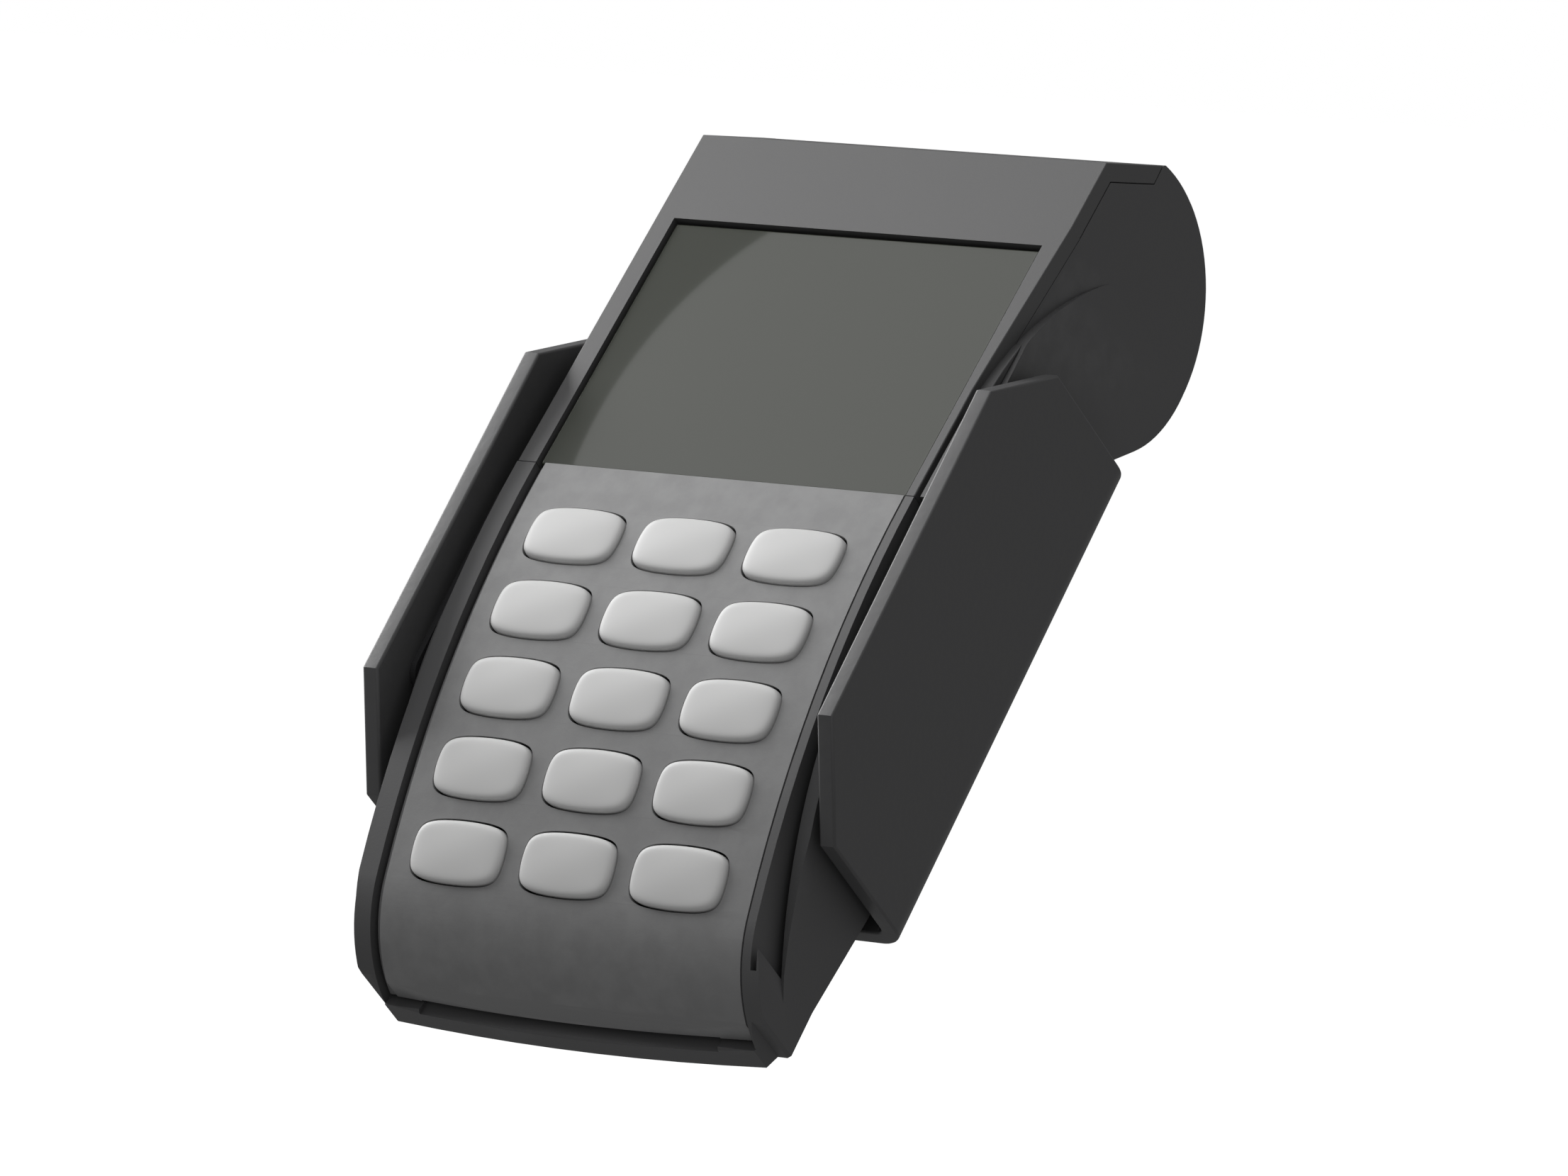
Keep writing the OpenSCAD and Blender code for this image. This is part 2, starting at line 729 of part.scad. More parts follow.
// Posts that take the housing screws, from the plate down to the main board
module front_posts() {
    intersection() {
        at_screws() rod_y(0, 0, 2.1, -far, main_y - board_t - seam);
        across(-plate_w / 2, plate_w / 2)
            polygon(concat(face_curve(plate_t - 0.5, nose_end), [[far, 0], [far, plate_top_z]]));
    }
}

module display_window() color([0.4, 0.42, 0.37, 0.55]) placed()
    across(-plate_room + 0.3, plate_room - 0.3)
        polygon([face_line(plate_top_z + 0.2, window_drop), face_line(window_top_z, window_drop),
            face_line(window_top_z, window_drop + window_t),
            face_line(plate_top_z + 0.2, window_drop + window_t)]);

lcd_low = plate_top_z + 3;
lcd_high = window_top_z - 0.6;
lcd_front = window_drop + window_t + seam;
module lcd_module() color([0.5, 0.53, 0.46]) placed()
    across(-lcd_w / 2, lcd_w / 2)
        polygon([face_line(lcd_low, lcd_front), face_line(lcd_high, lcd_front),
            face_line(lcd_high, lcd_front + lcd_t), face_line(lcd_low, lcd_front + lcd_t)]);

// ---- keypad ----------------------------------------------------------------------
module key(number) {
    row = floor((number - 1) / columns);
    column = (number - 1) % columns;
    color([0.85, 0.85, 0.84]) placed() on_face(row_angle(row))
        translate([key_x(column), 0, 0]) {
            translate([0, 0, -plate_t - 0.3]) linear_extrude(plate_t + 0.3 + key_proud)
                rounded(key_w, key_h, key_r);
            translate([0, 0, -plate_t - 0.2 - flange_t]) linear_extrude(flange_t)
                rounded(key_w + 2 * key_flange, key_h + 2 * key_flange, key_r);
        }
}
module key_1() key(1);
module key_2() key(2);
module key_3() key(3);
module key_4() key(4);
module key_5() key(5);
module key_6() key(6);
module key_7() key(7);
module key_8() key(8);
module key_9() key(9);
module key_10() key(10);
module key_11() key(11);
module key_12() key(12);
module key_13() key(13);
module key_14() key(14);
module key_15() key(15);

chord_len = norm(chord_low - chord_top);
module key_mat() color([0.2, 0.2, 0.21]) placed()
    across(-board_half, board_half) polygon(concat(
        [for (a = steps(-face_tilt + 1.4, nose_start - 0.6, 14)) face_at(a, mat_sunk)],
        [chord_low - chord_in * seam, chord_top - chord_in * seam]));

module keypad_board() color([0.1, 0.3, 0.17]) placed() on_chord()
    translate([-board_half, -chord_len, -board_t]) cube([2 * board_half, chord_len, board_t]);

// ---- electronics -------------------------------------------------------------------
module main_board() color([0.1, 0.3, 0.17]) placed() difference() {
    block(-35, 35, main_y - board_t, main_y - eps, main_low, main_high);
    at_screws() rod_y(0, 0, screw_r + 0.2, main_y - board_t - 1, main_y + 1);
}

board_front = main_y - board_t - eps;
module board_parts() color([0.13, 0.13, 0.14]) placed() {
    block(-9, 9, board_front - 1.6, board_front, 60, 78);
    block(-24, -12, board_front - 1.2, board_front, 58, 68);
    block(12, 26, board_front - 2.2, board_front, 84, 98);
    block(-8, 8, board_front - 2.6, board_front, 90, 97);
    block(14, 25, board_front - 1.1, board_front, 50, 56);
}

module coin_cell() color([0.75, 0.75, 0.76]) placed()
    rod_y(-20, 92, 8, board_front - 3.2, board_front);

module buzzer() color([0.1, 0.1, 0.1]) placed()
    rod_y(18, 72, 5, board_front - 3.6, board_front);

reader_half = 29.5;
reader_rear = -wall - seam;
reader_front = main_y + 0.2;
card_y = -lip_d - 0.55 - card_gap / 2;
module card_reader() color([0.12, 0.12, 0.13]) placed() difference() {
    block(-reader_half, reader_half, reader_front, reader_rear, 8.4, 58);
    block(-27.3, 27.3, card_y - card_gap / 2, card_y + card_gap / 2, 7, 53);
    block(-7, 7, reader_front - 1, card_y, 42, 54);
}

module card_contacts() color([0.85, 0.7, 0.35]) placed()
    for (x = [-1, 1], i = [0 : 3])
        block(x * 3.6 - 1.6, x * 3.6 + 1.6, card_y - card_gap / 2 - 1.2, card_y - card_gap / 2 - 0.2,
            43.2 + 2.54 * i, 44.9 + 2.54 * i);

mag_inner = swipe_x - 6;
module magnetic_head() color([0.6, 0.6, 0.62]) placed() {
    block(mag_inner, swipe_x - 0.5, mag_y, mag_y + mag_d, mag_z - mag_l / 2, mag_z + mag_l / 2);
    translate([swipe_x - 2.3, mag_y + mag_d / 2, mag_z - 2]) cylinder(r = 2.5, h = 4);
}

module port(i) {
    across(-head_w / 2 + 0.2, -head_w / 2 + 0.2 + port_d) difference() {
        translate([port_y[i], port_z[i]]) square([port_w - 0.2, port_h - 0.2], center = true);
        translate([port_y[i], port_z[i]]) square([port_w - 1.6, port_h - 1.6], center = true);
    }
    across(-head_w / 2 + port_d - 0.6, -head_w / 2 + port_d + 0.2)
        translate([port_y[i], port_z[i]]) square([port_w - 1, port_h - 1], center = true);
}
module power_port() color([0.08, 0.08, 0.08]) placed() port(0);
module line_port() color([0.08, 0.08, 0.08]) placed() port(1);

// ---- printer -----------------------------------------------------------------------
module printer_frame() color([0.7, 0.7, 0.72]) placed() difference() {
    union() {
        for (s = [-1, 1])
            across(s > 0 ? frame_x : -frame_x - frame_t, s > 0 ? frame_x + frame_t : -frame_x)
                polygon([[deck_front, deck_low], [platen_c[0] + 6.5, deck_low], platen_c + [6.5, 3.5],
                    platen_c + [-3, 2.7], [deck_front, platen_c[1] - 5.5]]);
        block(-head_in + 0.3, head_in - 0.3, deck_front, deck_rear, deck_low, deck_low + deck_t);
        rod_x(idler_c, 2.2, frame_x + frame_t / 2, gear_x - 0.2);
    }
    rod_x(platen_c, platen_shaft_r + 0.9, -far, far);
    rod_x(motor_c, 2.2, 0, far);
    rod_x(idler_c, idler_pin_r, 0, far);
}

module print_head() color([0.8, 0.8, 0.82]) placed() {
    block(-28.8, 28.8, head_plate_y, head_plate_y + head_plate_t,
        platen_c[1] - 5.9, platen_c[1] + 1.9);
    block(-27, 27, head_plate_y + head_plate_t, head_plate_y + head_plate_t + 0.15,
        platen_c[1] - 1, platen_c[1] + 1);
}

module head_springs() color([0.75, 0.75, 0.77]) placed()
    for (x = [-20, 6]) rod_y(x, platen_c[1] - 3.5, 1.5, head_plate_y - 5, head_plate_y - eps);

module print_motor() color([0.7, 0.7, 0.7]) placed() {
    rod_x(motor_c, motor_r, frame_x - eps - motor_l, frame_x - eps);
    rod_x(motor_c, 2.1, frame_x - 1, frame_x + frame_t);
    rod_x(motor_c, 0.8, frame_x, gear_x + gear_w);
}

module motor_pinion() color([0.85, 0.7, 0.35]) placed() difference() {
    gear_at(motor_c, pinion_teeth, pinion_turn);
    rod_x(motor_c, 0.8 + run_gap, 0, far);
}

module idler_gear() color([0.92, 0.92, 0.9]) placed() difference() {
    gear_at(idler_c, idler_teeth, idler_turn);
    rod_x(idler_c, idler_pin_r + run_gap, 0, far);
}

module idler_pin() color([0.75, 0.75, 0.77]) placed() {
    rod_x(idler_c, idler_pin_r, frame_x, gear_x + gear_w + 0.2);
    rod_x(idler_c, idler_pin_r + 0.6, gear_x + gear_w + 0.15, gear_x + gear_w + 0.7);
}

module platen_shaft() color([0.75, 0.75, 0.77]) placed() {
    rod_x(platen_c, platen_shaft_r, -frame_x - frame_t - 1.2, gear_x + gear_w);
    gear_at(platen_c, platen_teeth, platen_turn);
}

module platen_rubber() color([0.1, 0.1, 0.1]) placed() difference() {
    rod_x(platen_c, platen_r, -28, 28);
    rod_x(platen_c, platen_shaft_r, -far, far);
}

module platen_bushes() color([0.9, 0.9, 0.88]) placed() difference() {
    for (s = [-1, 1])
        rod_x(platen_c, platen_shaft_r + 0.9, s > 0 ? frame_x : -frame_x - frame_t,
            s > 0 ? frame_x + frame_t : -frame_x);
    rod_x(platen_c, platen_shaft_r + run_gap, -far, far);
}

module printer_lid() color([0.38, 0.38, 0.39]) placed() difference() {
    union() {
        across(-lid_half, lid_half) intersection() {
            difference() {
                translate(bulge_c) circle(bulge_r, $fn = 128);
                translate(bulge_c) circle(lid_in_r, $fn = 128);
            }
            polygon([bulge_c, bulge_at(-hinge_low, 60), bulge_at(0, 60), bulge_at(60, 60),
                bulge_at(lid_last, 60)]);
        }
        rod_x(hinge_at, barrel_r, -lid_half, lid_half);
    }
    rod_x(hinge_at, lid_pin_r + run_gap, -far, far);
}

lid_edge = bulge_at(lid_last, lid_in_r);
tooth_w = 1.5;
module tear_bar() color([0.72, 0.72, 0.73]) placed()
    translate([-28.5, lid_edge[0] - 0.35, lid_edge[1] - 0.8]) rotate([90, 0, 0])
        linear_extrude(0.6) {
            square([57, 2.2]);
            for (i = [0 : 37]) translate([i * tooth_w, 0])
                polygon([[0, 2.1], [tooth_w, 2.1], [tooth_w / 2, 3.1]]);
        }

module lid_pin() color([0.75, 0.75, 0.77]) placed()
    rod_x(hinge_at, lid_pin_r, -head_w / 2 + 0.8, head_w / 2 - 0.8);

module paper_roll() color([0.96, 0.96, 0.95]) placed() difference() {
    rod_x([roll_y, roll_z], roll_r, -roll_w / 2, roll_w / 2);
    rod_x([roll_y, roll_z], core_r, -far, far);
}

module paper_core() color([0.6, 0.5, 0.38]) placed() difference() {
    rod_x([roll_y, roll_z], core_r, -roll_w / 2 + 0.5, roll_w / 2 - 0.5);
    rod_x([roll_y, roll_z], core_r - 1, -far, far);
}

// ---- back of the casing --------------------------------------------------------------
module service_door() color([0.36, 0.36, 0.37]) placed() difference() {
    rearwards(-door_t, -0.1) translate([0, door_z]) rounded(door_w, door_h, 2);
    rod_y(0, door_z + door_h / 2 - 4, 1.2, -far, far);
}

module door_screw() color([0.7, 0.7, 0.72]) placed() {
    rod_y(0, door_z + door_h / 2 - 4, 0.9, -wall, -door_t / 2);
    rod_y(0, door_z + door_h / 2 - 4, 1.15, -door_t, -0.2);
}

module housing_screws() color([0.7, 0.7, 0.72]) placed() at_screws() {
    rod_y(0, 0, screw_r, main_y - board_t - 6, -2);
    rod_y(0, 0, screw_head_r, -2.55, -0.9);
}

module rubber_feet() color([0.12, 0.12, 0.12]) placed()
    for (x = [-1, 1], z = [30, under_z - 15]) rod_y(x * 26, z, 5, 0, foot_h);

cradle();
side_pad_left();
side_pad_right();
back_pad();
rear_housing();
front_cover();
keypad_plate();
display_window();
lcd_module();
key_mat();
keypad_board();
main_board();
board_parts();
coin_cell();
buzzer();
card_reader();
card_contacts();
magnetic_head();
power_port();
line_port();
printer_frame();
print_head();
head_springs();
print_motor();
motor_pinion();
idler_gear();
idler_pin();
platen_shaft();
platen_rubber();
platen_bushes();
printer_lid();
tear_bar();
lid_pin();
paper_roll();
paper_core();
service_door();
door_screw();
housing_screws();
rubber_feet();
key_1();
key_2();
key_3();
key_4();
key_5();
key_6();
key_7();
key_8();
key_9();
key_10();
key_11();
key_12();
key_13();
key_14();
key_15();
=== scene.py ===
"""Looks of a card payment terminal that hangs in a bent steel cradle.

The terminal is modelled upright, in the maker's own frame: X across, Y to the rear, Z up along
the casing, its back on Y = 0 and its foot on Z = 0.  ``Lean`` then places each finished piece.
"""

import json
import logging
import math
from dataclasses import dataclass, field
from enum import Enum
from typing import Callable, Sequence, Union

import bmesh
import bpy
from mathutils import Matrix, Vector


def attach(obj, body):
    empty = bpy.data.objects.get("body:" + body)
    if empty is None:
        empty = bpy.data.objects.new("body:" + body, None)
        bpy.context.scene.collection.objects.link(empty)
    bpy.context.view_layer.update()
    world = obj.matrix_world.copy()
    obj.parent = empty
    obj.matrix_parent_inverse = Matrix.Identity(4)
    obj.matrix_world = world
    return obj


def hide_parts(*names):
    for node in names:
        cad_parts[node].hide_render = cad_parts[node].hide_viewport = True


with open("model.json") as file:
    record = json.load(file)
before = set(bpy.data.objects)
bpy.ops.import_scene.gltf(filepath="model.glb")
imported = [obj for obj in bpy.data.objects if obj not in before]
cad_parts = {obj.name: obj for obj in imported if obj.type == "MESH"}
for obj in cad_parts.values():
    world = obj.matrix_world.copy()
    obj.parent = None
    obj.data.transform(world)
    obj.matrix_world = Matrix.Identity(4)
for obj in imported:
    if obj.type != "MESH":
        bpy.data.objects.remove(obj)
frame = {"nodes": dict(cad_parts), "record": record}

log = logging.getLogger("terminal")

MM = 0.001
Point = tuple[float, float]
Colour = tuple[float, float, float]


# ---- shader graphs ---------------------------------------------------------------------


class Wire:
    """A socket of a shader graph that takes part in arithmetic."""

    def __init__(self, graph: "Graph", socket: bpy.types.NodeSocket) -> None:
        """Wraps a socket.

        Args:
            graph: The graph that new maths nodes are added to.
            socket: The output socket that carries the value.
        """
        self.graph = graph
        self.socket = socket

    def _maths(self, operation: str, first: "Value", second: "Value") -> "Wire":
        """Adds one maths node.

        Args:
            operation: The node's operation.
            first: The first operand.
            second: The second operand.

        Returns:
            The node's result.
        """
        return self.graph.node("ShaderNodeMath", {"operation": operation}, {0: first, 1: second})

    def __add__(self, other: "Value") -> "Wire":
        """Sum of two values."""
        return self._maths("ADD", self, other)

    __radd__ = __add__

    def __sub__(self, other: "Value") -> "Wire":
        """This value less another."""
        return self._maths("SUBTRACT", self, other)

    def __rsub__(self, other: "Value") -> "Wire":
        """Another value less this one."""
        return self._maths("SUBTRACT", other, self)

    def __mul__(self, other: "Value") -> "Wire":
        """Product of two values."""
        return self._maths("MULTIPLY", self, other)

    __rmul__ = __mul__

    def over(self, edge: float, width: float) -> "Wire":
        """Soft step from 0 to 1.

        Args:
            edge: Where the step is half way.
            width: The step's full width.

        Returns:
            The stepped value.
        """
        ends = {1: edge - width / 2, 2: edge + width / 2}
        return self.graph.node("ShaderNodeMapRange", {"clamp": True}, {0: self, **ends})


Value = Union[Wire, float]


class Graph:
    """Node tree of one material."""

    def __init__(self, name: str) -> None:
        """Makes an empty material.

        Args:
            name: The material's name.
        """
        self.material = bpy.data.materials.new(name)
        self.material.use_nodes = True
        self.tree = self.material.node_tree
        self.tree.nodes.clear()
        self.output = self.tree.nodes.new("ShaderNodeOutputMaterial")

    def node(
        self,
        kind: str,
        settings: dict[str, object] | None = None,
        inputs: dict[int | str, object] | None = None,
        result: int | str = 0,
    ) -> Wire:
        """Adds any node.

        Args:
            kind: The node's type.
            settings: Its own settings, which are set first.
            inputs: Values or links of its sockets, by name or number.
            result: The output socket to return.

        Returns:
            The chosen output.
        """
        made = self.tree.nodes.new(kind)
        for key, value in (settings or {}).items():
            setattr(made, key, value)
        for key, value in (inputs or {}).items():
            if isinstance(value, Wire):
                self.tree.links.new(value.socket, made.inputs[key])
            else:
                made.inputs[key].default_value = value
        return Wire(self, made.outputs[result])

    def place(self) -> Wire:
        """Coordinates that stay with the object."""
        return self.node("ShaderNodeTexCoord", result="Object")

    def noise(self, size: float, detail: float = 2.0, stretch: Sequence[float] = (1, 1, 1)) -> Wire:
        """Cloudy pattern.

        Args:
            size: Size of its spots in metres.
            detail: How many finer layers it holds.
            stretch: Length of the spots along each axis, in sizes.

        Returns:
            A value around one half.
        """
        spread = tuple(1 / (size * s) for s in stretch)
        place = self.node("ShaderNodeMapping", {}, {"Vector": self.place(), "Scale": spread})
        sockets = {"Vector": place, "Scale": 1.0, "Detail": detail, "Roughness": 0.55}
        return self.node("ShaderNodeTexNoise", {"noise_dimensions": "3D"}, sockets)

    def tint(self, amount: Value, first: Colour, second: Colour) -> Wire:
        """Blend of two colours.

        Args:
            amount: Share of the second colour.
            first: The colour at 0.
            second: The colour at 1.

        Returns:
            The blended colour.
        """
        sockets = {0: amount, 6: (*first, 1.0), 7: (*second, 1.0)}
        return self.node("ShaderNodeMix", {"data_type": "RGBA"}, sockets, 2)

    def bump(self, height: Value, depth: float, under: Wire | None = None) -> Wire:
        """Relief of a height pattern.

        Args:
            height: The pattern, from 0 to 1.
            depth: Height of the relief in metres.
            under: Relief that this one lies on.

        Returns:
            The changed normal.
        """
        sockets = {"Height": height, "Distance": depth, "Strength": 1.0}
        if under is not None:
            sockets["Normal"] = under
        return self.node("ShaderNodeBump", {}, sockets)

    def surface(self, **inputs: object) -> bpy.types.Material:
        """Joins the shader to the output.

        Args:
            inputs: Sockets of the shader, with underscores for the spaces of their names.

        Returns:
            The finished material.
        """
        named = {key.replace("_", " "): value for key, value in inputs.items()}
        shader = self.node("ShaderNodeBsdfPrincipled", {}, named, "BSDF")
        self.tree.links.new(shader.socket, self.output.inputs["Surface"])
        return self.material


def shade(colour: Colour, factor: float) -> Colour:
    """A colour made lighter or darker.

    Args:
        colour: The colour to change.
        factor: What each channel is multiplied by.

    Returns:
        The changed colour, kept below 1.
    """
    return tuple(min(1.0, c * factor) for c in colour)


# ---- finishes --------------------------------------------------------------------------


@dataclass(frozen=True)
class MouldedPlastic:
    """Injection-moulded plastic with a spark-eroded grain and rubbed edges."""

    name: str
    colour: Colour
    roughness: float = 0.5
    grain: float = 0.00035
    grain_depth: float = 0.000012
    wear: float = 0.25
    mottle: float = 0.005

    def material(self) -> bpy.types.Material:
        """Builds the material.

        Returns:
            The material.
        """
        g = Graph(self.name)
        cloud = g.noise(0.018, 3.0)
        fine = g.noise(self.grain, 2.0)
        edge = g.node("ShaderNodeNewGeometry", result="Pointiness").over(0.64, 0.1)
        rubbed = edge * g.noise(0.004, 3.0).over(0.5, 0.3) * self.wear
        body = g.tint(cloud, shade(self.colour, 1 - self.mottle), shade(self.colour, 1 + self.mottle))
        worn = {0: rubbed, 6: body, 7: (*shade(self.colour, 1.5), 1.0)}
        colour = g.node("ShaderNodeMix", {"data_type": "RGBA"}, worn, 2)
        rough = self.roughness + (cloud - 0.5) * 0.03 + (fine - 0.5) * 0.08 - rubbed * 0.25
        normal = g.bump(fine, self.grain_depth)
        return g.surface(Base_Color=colour, Roughness=rough, Normal=normal, IOR=1.5)


@dataclass(frozen=True)
class PowderCoat:
    """Satin powder coat: a shallow orange peel with fine flow-out speckle."""

    name: str
    colour: Colour
    roughness: float = 0.42
    peel: float = 0.0016
    peel_depth: float = 0.00003

    def material(self) -> bpy.types.Material:
        """Builds the material.

        Returns:
            The material.
        """
        g = Graph(self.name)
        cloud = g.noise(0.03, 2.0)
        peel = g.noise(self.peel, 1.0)
        speck = g.noise(0.0003, 1.0)
        edge = g.node("ShaderNodeNewGeometry", result="Pointiness").over(0.62, 0.1)
        rubbed = edge * g.noise(0.005, 3.0).over(0.55, 0.3) * 0.4
        body = g.tint(cloud, shade(self.colour, 0.97), shade(self.colour, 1.03))
        worn = {0: rubbed, 6: body, 7: (*shade(self.colour, 2.4), 1.0)}
        colour = g.node("ShaderNodeMix", {"data_type": "RGBA"}, worn, 2)
        rough = self.roughness + (cloud - 0.5) * 0.1 + (speck - 0.5) * 0.12
        normal = g.bump(speck, 0.000006, g.bump(peel, self.peel_depth))
        return g.surface(Base_Color=colour, Roughness=rough, Normal=normal, IOR=1.5)


@dataclass(frozen=True)
class DrawnMetal:
    """Plated or brushed metal with fine lines along one axis."""

    name: str
    colour: Colour
    roughness: float = 0.3
    line: float = 0.00015
    grain_along: Sequence[float] = (20, 1, 1)

    def material(self) -> bpy.types.Material:
        """Builds the material.

        Returns:
            The material.
        """
        g = Graph(self.name)
        lines = g.noise(self.line, 2.0, self.grain_along)
        cloud = g.noise(0.006, 3.0)
        colour = g.tint(cloud, shade(self.colour, 0.86), shade(self.colour, 1.1))
        rough = self.roughness + (lines - 0.5) * 0.2 + (cloud - 0.5) * 0.15
        normal = g.bump(lines, 0.000004)
        return g.surface(Base_Color=colour, Metallic=1.0, Roughness=rough, Normal=normal)


@dataclass(frozen=True)
class SoftRubber:
    """Rubber, silicone or foam with a matt, slightly uneven skin."""

    name: str
    colour: Colour
    roughness: float = 0.8
    cell: float = 0.0006
    cell_depth: float = 0.00003

    def material(self) -> bpy.types.Material:
        """Builds the material.

        Returns:
            The material.
        """
        g = Graph(self.name)
        cell = g.noise(self.cell, 3.0)
        cloud = g.noise(0.01, 2.0)
        colour = g.tint(cell * 0.5 + cloud * 0.5, shade(self.colour, 0.8), shade(self.colour, 1.25))
        rough = self.roughness + (cell - 0.5) * 0.2
        normal = g.bump(cell, self.cell_depth)
        return g.surface(Base_Color=colour, Roughness=rough, Normal=normal)


@dataclass(frozen=True)
class DisplayGlass:
    """The display seen through its window: a pale liquid-crystal layer under a glossy face."""

    name: str
    colour: Colour
    dot: float = 0.0003

    def material(self) -> bpy.types.Material:
        """Builds the material.

        Returns:
            The material.
        """
        g = Graph(self.name)
        cloud = g.noise(0.03, 2.0)
        film = g.noise(self.dot, 1.0)
        colour = g.tint(cloud * 0.7 + film * 0.3, shade(self.colour, 0.96), shade(self.colour, 1.04))
        rough = 0.45 + (film - 0.5) * 0.1
        return g.surface(
            Base_Color=colour, Roughness=rough, Specular_IOR_Level=0.1,
            Coat_Weight=1.0, Coat_Roughness=0.015, Coat_IOR=1.5,
        )


@dataclass(frozen=True)
class CircuitBoard:
    """Solder mask over copper tracks."""

    name: str
    mask: Colour
    track: Colour
    pitch: float = 0.0016

    def material(self) -> bpy.types.Material:
        """Builds the material.

        Returns:
            The material.
        """
        g = Graph(self.name)
        route = g.noise(0.006, 1.0)
        place = g.node("ShaderNodeMapping", {}, {"Vector": g.place(), "Scale": (1 / self.pitch,) * 3})
        cells = g.node(
            "ShaderNodeTexVoronoi", {"distance": "MANHATTAN"}, {"Vector": place, "Scale": 1.0}
        )
        lines = cells.over(0.42, 0.06) * route.over(0.48, 0.06)
        colour = g.tint(lines, self.mask, self.track)
        rough = 0.38 + (route - 0.5) * 0.1
        normal = g.bump(lines, 0.00002)
        return g.surface(Base_Color=colour, Roughness=rough, Normal=normal)


@dataclass(frozen=True)
class WoundPaper:
    """Paper or board wound on a roll: thin rings on its ends."""

    name: str
    colour: Colour
    roughness: float = 0.75
    layer: float = 0.00012

    def material(self) -> bpy.types.Material:
        """Builds the material.

        Returns:
            The material.
        """
        g = Graph(self.name)
        fibre = g.noise(0.0008, 4.0)
        layers = g.noise(self.layer, 1.0)
        colour = g.tint(layers * 0.5 + fibre * 0.5, shade(self.colour, 0.86), shade(self.colour, 1.06))
        rough = self.roughness + (fibre - 0.5) * 0.2
        normal = g.bump(layers, 0.00001)
        return g.surface(Base_Color=colour, Roughness=rough, Normal=normal)


class Slot(Enum):
    """Finishes by the record's material slots."""

    CRADLE = "cradle_steel"
    FOAM = "foam_pad"
    CASE = "case_dark"
    COVER = "case_front"
    KEYPAD = "keypad_grey"
    KEY = "key_light"
    WINDOW = "window_clear"
    LCD = "lcd_glass"
    SILICONE = "silicone"
    BOARD = "board_green"
    CHIP = "chip_black"
    NICKEL = "nickel"
    STEEL = "steel"
    GOLD = "gold_contact"
    PORT = "port_black"
    BRASS = "brass_gear"
    NYLON = "nylon"
    PLATEN = "platen_black"
    PAPER = "paper_white"
    CARD = "card_brown"
    FOOT = "foot_rubber"


FINISHES = {
    Slot.CRADLE: PowderCoat("cradle_powder_coat", (0.1, 0.1, 0.102)),
    Slot.FOAM: SoftRubber("closed_cell_foam", (0.03, 0.03, 0.032), 0.9, 0.0005, 0.00008),
    Slot.CASE: MouldedPlastic("casing_plastic", (0.112, 0.112, 0.114), 0.52),
    Slot.COVER: MouldedPlastic("cover_plastic", (0.104, 0.104, 0.105), 0.46),
    Slot.KEYPAD: MouldedPlastic("keypad_plastic", (0.265, 0.265, 0.267), 0.48),
    Slot.KEY: MouldedPlastic("key_plastic", (0.79, 0.79, 0.785), 0.45, 0.0002, 0.000004, 0.0, 0.008),
    Slot.WINDOW: DisplayGlass("window_face", (0.04, 0.045, 0.032)),
    Slot.LCD: DisplayGlass("liquid_crystal_layer", (0.05, 0.054, 0.042)),
    Slot.SILICONE: SoftRubber("silicone_mat", (0.06, 0.06, 0.065), 0.6),
    Slot.BOARD: CircuitBoard("solder_mask", (0.012, 0.07, 0.03), (0.05, 0.16, 0.06)),
    Slot.CHIP: MouldedPlastic("chip_epoxy", (0.02, 0.02, 0.021), 0.55, 0.0002),
    Slot.NICKEL: DrawnMetal("bright_nickel", (0.68, 0.67, 0.64), 0.18, 0.0002, (1, 1, 1)),
    Slot.STEEL: DrawnMetal("zinc_steel", (0.55, 0.56, 0.57), 0.32),
    Slot.GOLD: DrawnMetal("gold_plate", (0.86, 0.62, 0.26), 0.2, 0.0002, (1, 1, 6)),
    Slot.PORT: MouldedPlastic("socket_plastic", (0.015, 0.015, 0.016), 0.5, 0.0003),
    Slot.BRASS: DrawnMetal("cut_brass", (0.72, 0.52, 0.22), 0.25, 0.0001, (12, 1, 1)),
    Slot.NYLON: MouldedPlastic("natural_nylon", (0.76, 0.75, 0.7), 0.45, 0.0003),
    Slot.PLATEN: SoftRubber("ground_rubber", (0.025, 0.025, 0.026), 0.7, 0.0002, 0.00001),
    Slot.PAPER: WoundPaper("thermal_paper", (0.9, 0.9, 0.88)),
    Slot.CARD: WoundPaper("wound_board", (0.42, 0.3, 0.18), 0.85, 0.0004),
    Slot.FOOT: SoftRubber("foot_rubber", (0.03, 0.03, 0.03), 0.75),
}


class Paintbox:
    """Makes each finish once and dresses pieces in it."""

    def __init__(self) -> None:
        """Starts with no material made."""
        self.made: dict[Slot, bpy.types.Material] = {}

    def material(self, slot: Slot) -> bpy.types.Material:
        """Finds the material of a slot, which is made at its first use.

        Args:
            slot: The finish.

        Returns:
            Its material.
        """
        if slot not in self.made:
            self.made[slot] = FINISHES[slot].material()
        return self.made[slot]

    def dress(self, piece: bpy.types.Object, slot: Slot) -> None:
        """Gives a piece one finish all over.

        Args:
            piece: The piece.
            slot: Its finish.
        """
        piece.data.materials.clear()
        piece.data.materials.append(self.material(slot))

    def dress_nodes(self) -> None:
        """Gives every node carried over from the frame its slot's finish."""
        slots = {part["node"]: part["material_slot"] for part in frame["record"]["subparts"]}
        for name, node in frame["nodes"].items():
            self.dress(node, Slot(slots[name]))
        log.info("dressed %d carried-over nodes", len(slots))


# ---- places ----------------------------------------------------------------------------


